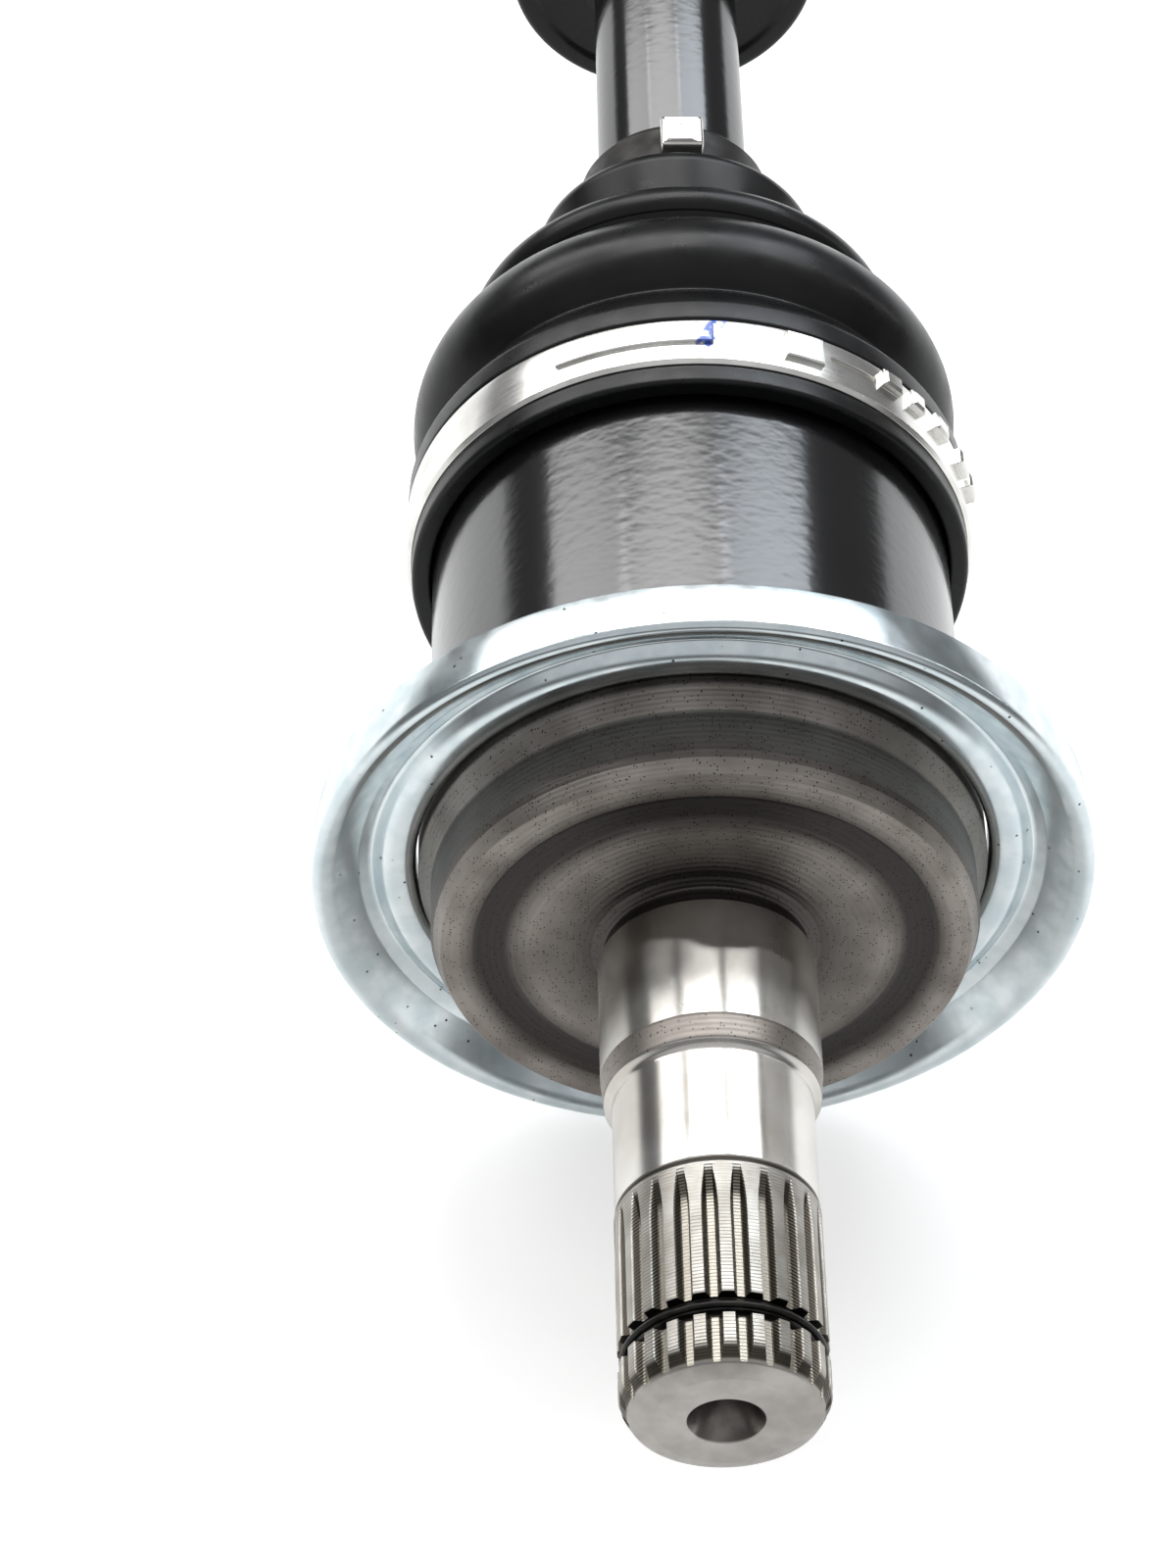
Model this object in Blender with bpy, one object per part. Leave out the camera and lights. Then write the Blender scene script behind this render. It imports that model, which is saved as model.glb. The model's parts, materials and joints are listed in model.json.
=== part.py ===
"""Axle shaft of a driven wheel, with a plunging ball joint inboard and a fixed ball joint outboard.

The axle lies along Y. Its inboard stub points to -Y, its outboard stub to +Y, and the world origin is
on the bar's centre line, where the bar is held. All lengths are in metres.
"""

import math

import bmesh
import bpy
from mathutils import Matrix, Vector

# Running gap between pieces that meet
FIT = 0.0003
# Gap between the spherical faces of the races, the cages and the housings
SPHERE_GAP = 0.0006
BALLS = 6

# Bar and the places of the two joint centres along it
BAR_RADIUS = 0.01145
BAR_SEAT_RADIUS = 0.0107
BAR_END_CHAMFER = 0.0012
BAR_SHOULDER_TAPER = 0.003
INBOARD_CENTRE_Y = -0.254
OUTBOARD_CENTRE_Y = 0.150

# Circlips that hold the races on the bar
CLIP_WIDTH = 0.0014
CLIP_HEIGHT = 0.0018
CLIP_GROOVE_DEPTH = 0.001
CLIP_END_LAND = 0.0014
CLIP_OPENING = math.radians(40)

# Inboard joint: balls, race and cage
INBOARD_BALL_RADIUS = 0.0080
INBOARD_BALL_CIRCLE = 0.0245
INBOARD_RACE_DROP = 0.0032
INBOARD_RACE_RADIUS = INBOARD_BALL_CIRCLE - INBOARD_RACE_DROP
INBOARD_RACE_HALF_WIDTH = 0.0115
INBOARD_CAGE_WALL = 0.0055
INBOARD_CAGE_HALF_WIDTH = 0.0125
INBOARD_TRACK_SIDE_PLAY = 0.0004
CAGE_WINDOW_CORNER = 0.0025

# Inboard cup, measured from the joint centre. Its wall is what the ball tracks leave
CUP_WALL = 0.0039
CUP_RADIUS = INBOARD_BALL_CIRCLE + INBOARD_BALL_RADIUS + FIT + CUP_WALL
CUP_MOUTH_DEPTH = 0.0315
CUP_FLOOR_DEPTH = 0.0310
CUP_FLOOR_CORNER = 0.0015
CUP_TRACK_FROM_FLOOR = 0.0010
MOUTH_CHAMFER = 0.0008
CUP_MOUTH_LIP = 0.0057
CUP_MOUTH_RADIUS = CUP_RADIUS - CUP_MOUTH_LIP
CUP_FACE_DEPTH = 0.0528
CUP_FRONT_STEP = 0.0002
CUP_FRONT_RADIUS = CUP_RADIUS - CUP_FRONT_STEP
CUP_FRONT_CHAMFER = 0.0031
CUP_FRONT_CHAMFER_RISE = 0.0013
CUP_FRONT_LENGTH = 0.0067
CUP_FACE_RING_RADIUS = CUP_FRONT_RADIUS - CUP_FRONT_CHAMFER_RISE
CUP_FACE_RING_WIDTH = 0.0043
CUP_FACE_GROOVE_RADIUS = CUP_FACE_RING_RADIUS - CUP_FACE_RING_WIDTH
CUP_FACE_GROOVE_WIDTH = 0.0050
CUP_FACE_GROOVE_DEPTH = 0.0008
CUP_FACE_DISC_RADIUS = CUP_FACE_GROOVE_RADIUS - CUP_FACE_GROOVE_WIDTH
SHIELD_LAND_RISE = 0.0015
SHIELD_LAND_RADIUS = CUP_RADIUS + SHIELD_LAND_RISE
SHIELD_LAND_TAPER = 0.0030
SHIELD_LAND_LENGTH = 0.0062

# Wire ring that stops the balls at the cup's mouth. A little more than half its wire stands proud
STOP_WIRE_RADIUS = 0.0010
STOP_RING_SINK = 0.0006
STOP_RING_FROM_MOUTH = 0.0040
STOP_RING_DEPTH = CUP_MOUTH_DEPTH - STOP_RING_FROM_MOUTH
STOP_RING_OPENING = math.radians(16)
STOP_RING_TURN = math.radians(30)

# Inboard stub, counted from the cup's face outwards
STUB_SPLINE_RADIUS = 0.0131
STUB_SPLINE_LENGTH = 0.0297
STUB_SPLINE_TEETH = 23
STUB_SPLINE_DEPTH = 0.0012
STUB_SPLINE_RUNOUT = 0.0075
STUB_CHAMFER_LENGTH = 0.0013
STUB_CHAMFER_RISE = 0.0030
STUB_END_RADIUS = STUB_SPLINE_RADIUS - STUB_CHAMFER_RISE
SPLINE_NECK_LENGTH = 0.0008
SPLINE_NECK_DEPTH = 0.0004
SMALL_JOURNAL_STEP = 0.0001
SMALL_JOURNAL_RADIUS = STUB_SPLINE_RADIUS - SMALL_JOURNAL_STEP
SMALL_JOURNAL_LENGTH = 0.0164
JOURNAL_TAPER_LENGTH = 0.0047
JOURNAL_TAPER_RISE = 0.0009
JOURNAL_EDGE_RISE = 0.0005
BIG_JOURNAL_RADIUS = SMALL_JOURNAL_RADIUS + JOURNAL_TAPER_RISE + JOURNAL_EDGE_RISE
BIG_JOURNAL_LENGTH = 0.0184
STUB_RELIEF_DEPTH = 0.0005
STUB_RELIEF_LENGTH = 0.0032
STUB_RELIEF_RADIUS = BIG_JOURNAL_RADIUS - STUB_RELIEF_DEPTH
STUB_ROOT_RADIUS = BIG_JOURNAL_RADIUS + STUB_RELIEF_DEPTH
CENTRE_HOLE_RADIUS = 0.0049
CENTRE_HOLE_CONE = 0.0052
CENTRE_DRILL_RADIUS = 0.0019
CENTRE_DRILL_DEPTH = 0.0115
STUB_CLIP_WIRE_RADIUS = 0.0005
STUB_CLIP_FROM_END = 0.0087
STUB_CLIP_SIDE_PLAY = 0.0010
STUB_CLIP_GROOVE_DEPTH = 0.0015
STUB_CLIP_GROOVE_RADIUS = STUB_SPLINE_RADIUS - STUB_CLIP_GROOVE_DEPTH
STUB_CLIP_OPENING = math.radians(32)
STUB_CLIP_TURN = math.radians(90)

# Both splines: the hob that cuts them leaves a run-out, and groove widths are shares of the pitch
HOB_RADIUS = 0.020
GROOVE_TOP_SHARE = 0.62
GROOVE_FLOOR_SHARE = 0.26

# Pressed dust shield, counted from its flange
SHIELD_SHEET = 0.0013
SHIELD_COLLAR_LENGTH = 0.0046
SHIELD_FLANGE_WIDTH = 0.0041
SHIELD_FLANGE_RADIUS = SHIELD_LAND_RADIUS + SHIELD_FLANGE_WIDTH
SHIELD_VALLEY_WIDTH = 0.0020
SHIELD_VALLEY_RADIUS = SHIELD_FLANGE_RADIUS + SHIELD_VALLEY_WIDTH
SHIELD_VALLEY_DEPTH = 0.0021
SHIELD_SLOPE_WIDTH = 0.0036
SHIELD_SLOPE_RADIUS = SHIELD_VALLEY_RADIUS + SHIELD_SLOPE_WIDTH
SHIELD_SLOPE_RISE = 0.0003
SHIELD_RIM_WIDTH = 0.0045
SHIELD_RIM_RADIUS = SHIELD_SLOPE_RADIUS + SHIELD_RIM_WIDTH
SHIELD_RIM_RISE = 0.0034
SHIELD_RIM_LENGTH = 0.0068

# Inboard boot: its seat reaches back over the cup, and its folds are (distance past the mouth, radius)
BOOT_WALL = 0.0024
BOOT_SEAT_WALL = 0.0027
BOOT_SEAT_RIB = 0.0006
BOOT_RIDGE_CROWN = 0.0022
BOOT_MOUTH_SLOPE = 0.0002
INBOARD_BOOT_SEAT_LENGTH = 0.0175
INBOARD_BOOT_LIP_LENGTH = 0.0036
INBOARD_BOOT_REACH = 0.0665
INBOARD_BOOT_RIDGES = ((0.0125, 0.0397), (0.0295, 0.0322), (0.0497, 0.0215))
INBOARD_BOOT_VALLEYS = ((0.0048, 0.0360), (0.0232, 0.0278), (0.0392, 0.0190), (0.0540, 0.0150))

# Outboard joint: balls, race and cage
OUTBOARD_BALL_RADIUS = 0.0083
OUTBOARD_BALL_CIRCLE = 0.0285
OUTBOARD_RACE_DROP = 0.0033
OUTBOARD_RACE_RADIUS = OUTBOARD_BALL_CIRCLE - OUTBOARD_RACE_DROP
OUTBOARD_RACE_HALF_WIDTH = 0.0125
OUTBOARD_CAGE_WALL = 0.0056
OUTBOARD_CAGE_HALF_WIDTH = 0.0135
OUTBOARD_TRACK_SIDE_PLAY = 0.0015

# Outboard bell, measured from the joint centre. Its wall is what the ball tracks leave
BELL_WALL = 0.0034
BELL_SEAT_RADIUS = OUTBOARD_BALL_CIRCLE + OUTBOARD_BALL_RADIUS + FIT + BELL_WALL
BELL_SHOULDER_STEP = 0.0015
BELL_RADIUS = BELL_SEAT_RADIUS + BELL_SHOULDER_STEP
BELL_SEAT_LENGTH = 0.0165
BELL_MOUTH_DEPTH = 0.0200
BELL_MOUTH_LIP = 0.0043
BELL_MOUTH_RADIUS = BELL_SEAT_RADIUS - BELL_MOUTH_LIP
BELL_BORE_EDGE = 0.0130
BELL_FLOOR_DEPTH = 0.0240
BELL_SHOULDER_START = 0.0170
BELL_NECK_RADIUS = 0.0245
BELL_NECK_DEPTH = 0.0350
HUB_SEAT_DEPTH = 0.0380
OUTER_SPLINE_RADIUS = 0.0136
OUTER_SPLINE_LENGTH = 0.0460
OUTER_SPLINE_TEETH = 24
OUTER_SPLINE_DEPTH = 0.0012
OUTER_SPLINE_RUNOUT = 0.0078
OUTER_SPLINE_FILLET = 0.0012
THREAD_STEP = 0.0026
THREAD_RADIUS = OUTER_SPLINE_RADIUS - THREAD_STEP
THREAD_NECK_DEPTH = 0.0008
THREAD_NECK_RADIUS = THREAD_RADIUS - THREAD_NECK_DEPTH
THREAD_NECK_LENGTH = 0.0030
THREAD_LENGTH = 0.0230
THREAD_CHAMFER = 0.0012

# Outboard boot, with its folds as (distance past the mouth, radius)
OUTBOARD_BOOT_SEAT_LENGTH = 0.0150
OUTBOARD_BOOT_LIP_LENGTH = 0.0030
OUTBOARD_BOOT_REACH = 0.0800
OUTBOARD_BOOT_RIDGES = ((0.0135, 0.0430), (0.0270, 0.0370), (0.0400, 0.0310), (0.0525, 0.0250))
OUTBOARD_BOOT_VALLEYS = ((0.0060, 0.0385), (0.0202, 0.0330), (0.0335, 0.0270), (0.0463, 0.0210),
                         (0.0610, 0.0150))

# Boot clamps
CLAMP_BAND = 0.0008
LARGE_CLAMP_WIDTH = 0.0072
LARGE_CLAMP_LAP = math.radians(70)
LARGE_CLAMP_TURN = math.radians(330)
SMALL_CLAMP_WIDTH = 0.0068
SMALL_CLAMP_LAP = math.radians(50)
SMALL_CLAMP_TURN = math.radians(270)
SMALL_CLAMP_TO_END = 0.0020
BOOT_NECK_LENGTH = 0.0098
BOOT_NECK_WALL = 0.0017

# Vibration damper on the bar
DAMPER_FRONT_Y = -0.1015
DAMPER_RADIUS = 0.0250
DAMPER_LENGTH = 0.0500
DAMPER_EDGE = 0.0020
DAMPER_COVER = 0.0022
DAMPER_FRONT_WALL = 0.0040
DAMPER_SLEEVE_WALL = 0.0056
DAMPER_NECK_WALL = 0.0032
DAMPER_NECK_LENGTH = 0.0105
DAMPER_WEIGHT_RECESS = 0.0006

# Sides of the turned pieces, and steps of their arcs
CUP_SIDES = 24
SHIELD_SIDES = 32
BOOT_SIDES = CUP_SIDES
JOINT_SIDES = 24
BAR_SIDES = 18
RING_SIDES = 18
RING_WIRE_SIDES = 5
BALL_SEGMENTS = 10
BALL_RINGS = 6
TRACK_ARC_STEPS = 4
TRACK_PATH_STEP = math.radians(21)
TRACK_PATH_REACH = math.radians(42)
AXLE = Vector((0.0, 1.0, 0.0))


def clear_scene():
    for item in list(bpy.data.objects):
        bpy.data.objects.remove(item, do_unlink=True)


def make_finish(name, colour, metallic, roughness):
    """A Principled material with one base colour in linear values."""
    finish = bpy.data.materials.new(name)
    finish.use_nodes = True
    shader = finish.node_tree.nodes["Principled BSDF"]
    shader.inputs["Base Color"].default_value = (*colour, 1.0)
    shader.inputs["Metallic"].default_value = metallic
    shader.inputs["Roughness"].default_value = roughness
    finish.diffuse_color = (*colour, 1.0)
    return finish


def make_finishes():
    return {
        "turned_steel": make_finish("turned_steel", (0.56, 0.55, 0.53), 1.0, 0.28),
        "bearing_steel": make_finish("bearing_steel", (0.66, 0.66, 0.66), 1.0, 0.12),
        "hardened_steel": make_finish("hardened_steel", (0.38, 0.37, 0.36), 1.0, 0.35),
        "spring_steel": make_finish("spring_steel", (0.03, 0.03, 0.03), 0.8, 0.40),
        "black_paint": make_finish("black_paint", (0.010, 0.010, 0.011), 0.0, 0.18),
        "zinc_plate": make_finish("zinc_plate", (0.42, 0.47, 0.49), 1.0, 0.38),
        "boot_rubber": make_finish("boot_rubber", (0.016, 0.016, 0.017), 0.0, 0.55),
        "stainless_band": make_finish("stainless_band", (0.68, 0.68, 0.67), 1.0, 0.22),
    }


def add_empty(name, y):
    """An empty on the axle's centre line, which carries the pieces of one joint."""
    empty = bpy.data.objects.new(name, None)
    empty.location = (0.0, y, 0.0)
    bpy.context.collection.objects.link(empty)
    return empty


def add_piece(name, bm, finish, parent=None):
    """Turn an edit mesh into a named object with smooth faces and crisp edges."""
    bmesh.ops.remove_doubles(bm, verts=bm.verts, dist=1e-6)
    bmesh.ops.recalc_face_normals(bm, faces=bm.faces)
    mesh = bpy.data.meshes.new(name)
    bm.to_mesh(mesh)
    bm.free()
    mesh.shade_smooth()
    mesh.set_sharp_from_angle(angle=math.radians(35))
    piece = bpy.data.objects.new(name, mesh)
    bpy.context.collection.objects.link(piece)
    if finish is not None:
        mesh.materials.append(finish)
    piece.parent = parent
    return piece


def spin_outline(bm, outline, sides, closed):
    """Spin (radius, y) points round the axle. A closed outline makes a ring, an open one ends on the axis."""
    corners = [bm.verts.new((radius, y, 0.0)) for radius, y in outline]
    edges = [bm.edges.new(pair) for pair in zip(corners, corners[1:])]
    if closed:
        edges.append(bm.edges.new((corners[-1], corners[0])))
    bmesh.ops.spin(bm, geom=corners + edges, cent=(0, 0, 0), axis=AXLE, angle=2 * math.pi, steps=sides,
                   use_merge=True, use_duplicate=False)


def turned(name, outline, sides, finish, parent=None, closed=False):
    bm = bmesh.new()
    spin_outline(bm, outline, sides, closed)
    return add_piece(name, bm, finish, parent)


def join_rings(bm, rings, closed):
    """Skin between rings of points. An open run of rings gets a cap at each end."""
    loops = [[bm.verts.new(point) for point in ring] for ring in rings]
    pairs = list(zip(loops, loops[1:]))
    if closed:
        pairs.append((loops[-1], loops[0]))
    for near, far in pairs:
        for index in range(len(near)):
            following = (index + 1) % len(near)
            bm.faces.new((near[index], near[following], far[following], far[index]))
    if not closed:
        bm.faces.new(loops[0])
        bm.faces.new(loops[-1])


def about_axle(angle):
    return Matrix.Rotation(angle, 3, AXLE)


def cut(target, cutter):
    """Take the cutter's solid away from the target."""
    cutter.hide_render = True
    cutter.display_type = "WIRE"
    trim = target.modifiers.new(cutter.name, "BOOLEAN")
    trim.operation = "DIFFERENCE"
    trim.solver = "EXACT"
    trim.object = cutter


def arc_points(radius, start, end, steps):
    """Points (radius from the axle, y) on a circle round the joint centre, angles from the ball plane."""
    angles = [start + (end - start) * step / steps for step in range(steps + 1)]
    return [(radius * math.cos(angle), radius * math.sin(angle)) for angle in angles]


def sheet_outline(line, thickness):
    """Closed outline of a sheet that is thickness thick and has its middle on the line."""
    points = [Vector(point) for point in line]
    near, far = [], []
    for index, point in enumerate(points):
        before = (point - points[index - 1]).normalized() if index else None
        after = (points[index + 1] - point).normalized() if index + 1 < len(points) else None
        along = (before or after) if None in (before, after) else (before + after).normalized()
        square = Vector((-along.y, along.x))
        mitre = 1.0 if before is None else 1.0 / max(0.5, along.dot(before))
        near.append(tuple(point + square * thickness * mitre / 2))
        far.append(tuple(point - square * thickness * mitre / 2))
    return near + far[::-1]


def ball_angles():
    return [2 * math.pi * index / BALLS for index in range(BALLS)]


def track_section(ball_radius, side_play):
    """Outline of a ball track as (across, outwards): a circle round the ball, drawn out by the side play."""
    step = math.pi / TRACK_ARC_STEPS
    radius = (ball_radius + FIT) / math.cos(step / 2)
    outline = []
    for side, start in ((1, -math.pi / 2), (-1, math.pi / 2)):
        for index in range(TRACK_ARC_STEPS + 1):
            angle = start + index * step
            outline.append((side * side_play + radius * math.cos(angle), radius * math.sin(angle)))
    return outline


def curved_track_cutter(name, ball_radius, ball_circle, side_play, parent):
    """Cutter for tracks that curve round the joint centre, so that a ball keeps its distance from it."""
    bm = bmesh.new()
    steps = 2 * round(TRACK_PATH_REACH / TRACK_PATH_STEP)
    widen = 1.0 / math.cos(TRACK_PATH_REACH / steps)
    for place in ball_angles():
        rings = []
        for index in range(steps + 1):
            tilt = -TRACK_PATH_REACH + 2 * TRACK_PATH_REACH * index / steps
            ring = []
            for across, outwards in track_section(ball_radius, side_play):
                reach = (ball_circle + outwards) * widen
                point = Vector((reach * math.cos(tilt), reach * math.sin(tilt), across))
                ring.append(about_axle(place) @ point)
            rings.append(ring)
        join_rings(bm, rings, closed=False)
    return add_piece(name, bm, None, parent)


def straight_track_cutter(name, ball_radius, ball_circle, side_play, start, end, parent):
    """Cutter for tracks that run straight along the cup."""
    bm = bmesh.new()
    for place in ball_angles():
        rings = []
        for y in (start, end):
            points = [Vector((ball_circle + outwards, y, across))
                      for across, outwards in track_section(ball_radius, side_play)]
            rings.append([about_axle(place) @ point for point in points])
        join_rings(bm, rings, closed=False)
    return add_piece(name, bm, None, parent)


def spline_cutter(name, radius, teeth, depth, open_end, full_end, parent):
    """Cutter for spline grooves that open at one end and run out in a slope past the other."""
    bm = bmesh.new()
    pitch = 2 * math.pi * radius / teeth
    top, bottom = GROOVE_TOP_SHARE * pitch, GROOVE_FLOOR_SHARE * pitch
    direction = 1 if full_end > open_end else -1
    runout = math.sqrt(HOB_RADIUS ** 2 - (HOB_RADIUS - depth) ** 2)
    stations = [(open_end - direction * depth, depth), (full_end, depth), (full_end + direction * runout, 0.0)]
    over = depth
    for tooth in range(teeth):
        rings = []
        for y, groove in stations:
            floor = radius - groove
            flank = (top - bottom) / 2 * (over + groove) / depth
            points = [(floor, bottom / 2), (radius + over, bottom / 2 + flank),
                      (radius + over, -bottom / 2 - flank), (floor, -bottom / 2)]
            turn = about_axle(2 * math.pi * (tooth + 0.5) / teeth)
            rings.append([turn @ Vector((out, y, across)) for out, across in points])
        join_rings(bm, rings, closed=False)
    return add_piece(name, bm, None, parent)


def wire_ring(name, ring_radius, y, wire_radius, opening, middle, finish, parent):
    """Round wire bent to an open ring. Its opening is centred on the angle middle."""
    bm = bmesh.new()
    rings = []
    for index in range(RING_SIDES + 1):
        place = middle + opening / 2 + (2 * math.pi - opening) * index / RING_SIDES
        ring = []
        for corner in range(RING_WIRE_SIDES):
            angle = 2 * math.pi * corner / RING_WIRE_SIDES
            point = Vector((ring_radius + wire_radius * math.cos(angle), y + wire_radius * math.sin(angle), 0.0))
            ring.append(about_axle(place) @ point)
        rings.append(ring)
    join_rings(bm, rings, closed=False)
    return add_piece(name, bm, finish, parent)


def flat_clip(name, y, finish, parent):
    """Flat circlip in the bar's groove: a rectangular section bent to an open ring."""
    bm = bmesh.new()
    inner = BAR_SEAT_RADIUS - CLIP_GROOVE_DEPTH + FIT
    outer = inner + CLIP_HEIGHT
    half = (CLIP_WIDTH - FIT) / 2
    rings = []
    for index in range(RING_SIDES + 1):
        place = CLIP_OPENING / 2 + (2 * math.pi - CLIP_OPENING) * index / RING_SIDES
        corners = ((inner, y - half), (outer, y - half), (outer, y + half), (inner, y + half))
        rings.append([about_axle(place) @ Vector((radius, along, 0.0)) for radius, along in corners])
    join_rings(bm, rings, closed=False)
    return add_piece(name, bm, finish, parent)


def band_clamp(name, inner_radius, y, width, lap, sides, finish, parent, middle):
    """Steel band closed on itself: over the lap the second layer lies on the first."""
    bm = bmesh.new()
    rings = []
    for index in range(sides):
        place = 2 * math.pi * index / sides
        from_middle = abs((place - middle + math.pi) % (2 * math.pi) - math.pi)
        layers = 2 if from_middle <= lap / 2 else 1
        outer = inner_radius + layers * CLAMP_BAND
        corners = ((inner_radius, y - width / 2), (outer, y - width / 2),
                   (outer, y + width / 2), (inner_radius, y + width / 2))
        rings.append([about_axle(place) @ Vector((radius, along, 0.0)) for radius, along in corners])
    join_rings(bm, rings, closed=True)
    return add_piece(name, bm, finish, parent)


def add_balls(prefix, ball_radius, ball_circle, finish, parent):
    """Balls on their circle. The first lies on +X, and they are numbered round the axle."""
    for number, place in enumerate(ball_angles(), start=1):
        bm = bmesh.new()
        bmesh.ops.create_uvsphere(bm, u_segments=BALL_SEGMENTS, v_segments=BALL_RINGS, radius=ball_radius)
        bmesh.ops.transform(bm, matrix=about_axle(place).to_4x4(), verts=bm.verts)
        ball = add_piece(f"{prefix}_ball_{number}", bm, finish, parent)
        ball.location = about_axle(place) @ Vector((ball_circle, 0.0, 0.0))


def add_race(name, race_radius, half_width, ball_radius, ball_circle, side_play, finish, parent):
    """Star-shaped inner race: a ball with flat ends, a bore for the bar and a curved track for each ball."""
    edge = math.asin(half_width / race_radius)
    bore = BAR_SEAT_RADIUS + FIT
    outline = arc_points(race_radius, -edge, edge, 3) + [(bore, half_width), (bore, -half_width)]
    race = turned(name, outline, JOINT_SIDES, finish, parent, closed=True)
    cut(race, curved_track_cutter(name + "_tracks", ball_radius, ball_circle, side_play, parent))
    return race


def add_cage(name, inner_radius, wall, half_width, ball_radius, ball_circle, side_play, finish, parent):
    """Ball cage: a spherical ring with one window for each ball."""
    outer_radius = inner_radius + wall
    outer_edge = math.asin(half_width / outer_radius)
    inner_edge = math.asin(half_width / inner_radius)
    outline = arc_points(outer_radius, -outer_edge, outer_edge, 3)
    outline += arc_points(inner_radius, inner_edge, -inner_edge, 4)
    cage = turned(name, outline, JOINT_SIDES, finish, parent, closed=True)
    high = ball_radius + FIT
    wide = ball_radius + FIT + 2 * side_play
    corner = CAGE_WINDOW_CORNER
    bm = bmesh.new()
    for place in ball_angles():
        window = []
        for turn in range(4):
            sign_y, sign_z = ((1, 1), (1, -1), (-1, -1), (-1, 1))[turn]
            square = [(high * sign_y, (wide - corner) * sign_z), ((high - corner) * sign_y, wide * sign_z)]
            window += square if turn % 2 else square[::-1]
        rings = [[about_axle(place) @ Vector((reach, y, z)) for y, z in window]
                 for reach in (inner_radius / 2, outer_radius + ball_radius)]
        join_rings(bm, rings, closed=False)
    cut(cage, add_piece(name + "_windows", bm, None, parent))
    return cage


def race_clip_y(half_width):
    """Middle of the circlip that lies outside a race, from the joint centre."""
    return half_width + FIT + CLIP_WIDTH / 2


def bar_end_y(half_width):
    return race_clip_y(half_width) + CLIP_WIDTH / 2 + FIT + CLIP_END_LAND


def bar_end_outline(half_width):
    """One end of the bar from its tip inwards, as (radius, distance from the joint centre away from the bar)."""
    clip = race_clip_y(half_width)
    groove = CLIP_WIDTH / 2 + FIT / 2
    end = bar_end_y(half_width)
    return [
        (0.0, end),
        (BAR_SEAT_RADIUS - BAR_END_CHAMFER, end),
        (BAR_SEAT_RADIUS, end - BAR_END_CHAMFER),
        (BAR_SEAT_RADIUS, clip + groove),
        (BAR_SEAT_RADIUS - CLIP_GROOVE_DEPTH, clip + groove),
        (BAR_SEAT_RADIUS - CLIP_GROOVE_DEPTH, clip - groove),
        (BAR_SEAT_RADIUS, clip - groove),
        (BAR_SEAT_RADIUS, -half_width - FIT),
        (BAR_RADIUS, -half_width - FIT - BAR_SHOULDER_TAPER),
    ]


def add_bar(finish):
    inboard = [(radius, INBOARD_CENTRE_Y - away) for radius, away in bar_end_outline(INBOARD_RACE_HALF_WIDTH)]
    outboard = [(radius, OUTBOARD_CENTRE_Y + away) for radius, away in bar_end_outline(OUTBOARD_RACE_HALF_WIDTH)]
    return turned("bar", inboard + outboard[::-1], BAR_SIDES, finish)


def cup_stub_outline():
    """Outside of the stub and the cup's front, from the centre hole in the stub's end to the shield's land."""
    face = -CUP_FACE_DEPTH
    big_end = face - STUB_RELIEF_LENGTH
    big_start = big_end - BIG_JOURNAL_LENGTH
    small_end = big_start - JOURNAL_TAPER_LENGTH
    small_start = small_end - SMALL_JOURNAL_LENGTH
    spline_end = small_start - SPLINE_NECK_LENGTH
    tip = spline_end - STUB_SPLINE_LENGTH
    clip = tip + STUB_CLIP_FROM_END
    groove = STUB_CLIP_WIRE_RADIUS + STUB_CLIP_SIDE_PLAY
    neck = SMALL_JOURNAL_RADIUS - SPLINE_NECK_DEPTH
    chamfer_end = face + CUP_FRONT_CHAMFER
    front_end = chamfer_end + CUP_FRONT_LENGTH
    land_start = front_end + SHIELD_LAND_TAPER
    return [
        (0.0, tip + CENTRE_DRILL_DEPTH),
        (CENTRE_DRILL_RADIUS, tip + CENTRE_DRILL_DEPTH - CENTRE_DRILL_RADIUS / 2),
        (CENTRE_DRILL_RADIUS, tip + CENTRE_HOLE_CONE),
        (CENTRE_HOLE_RADIUS, tip),
        (STUB_END_RADIUS, tip),
        (STUB_SPLINE_RADIUS, tip + STUB_CHAMFER_LENGTH),
        (STUB_SPLINE_RADIUS, clip - groove),
        (STUB_CLIP_GROOVE_RADIUS, clip - groove),
        (STUB_CLIP_GROOVE_RADIUS, clip + groove),
        (STUB_SPLINE_RADIUS, clip + groove),
        (STUB_SPLINE_RADIUS, spline_end),
        (neck, spline_end + SPLINE_NECK_LENGTH / 2),
        (SMALL_JOURNAL_RADIUS, small_start),
        (SMALL_JOURNAL_RADIUS, small_end),
        (SMALL_JOURNAL_RADIUS + JOURNAL_TAPER_RISE, big_start - JOURNAL_EDGE_RISE),
        (BIG_JOURNAL_RADIUS, big_start),
        (BIG_JOURNAL_RADIUS, big_end),
        (STUB_RELIEF_RADIUS, big_end + STUB_RELIEF_LENGTH / 4),
        (STUB_RELIEF_RADIUS, face - STUB_RELIEF_LENGTH / 3),
        (STUB_ROOT_RADIUS, face),
        (CUP_FACE_DISC_RADIUS, face),
        (CUP_FACE_DISC_RADIUS, face + CUP_FACE_GROOVE_DEPTH),
        (CUP_FACE_GROOVE_RADIUS, face + CUP_FACE_GROOVE_DEPTH),
        (CUP_FACE_GROOVE_RADIUS, face),
        (CUP_FACE_RING_RADIUS, face),
        (CUP_FRONT_RADIUS, chamfer_end),
        (CUP_FRONT_RADIUS, front_end),
        (SHIELD_LAND_RADIUS, land_start),
        (SHIELD_LAND_RADIUS, land_start + SHIELD_LAND_LENGTH),
        (CUP_RADIUS, land_start + SHIELD_LAND_LENGTH + (SHIELD_LAND_RADIUS - CUP_RADIUS) / 2),
    ]


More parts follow.
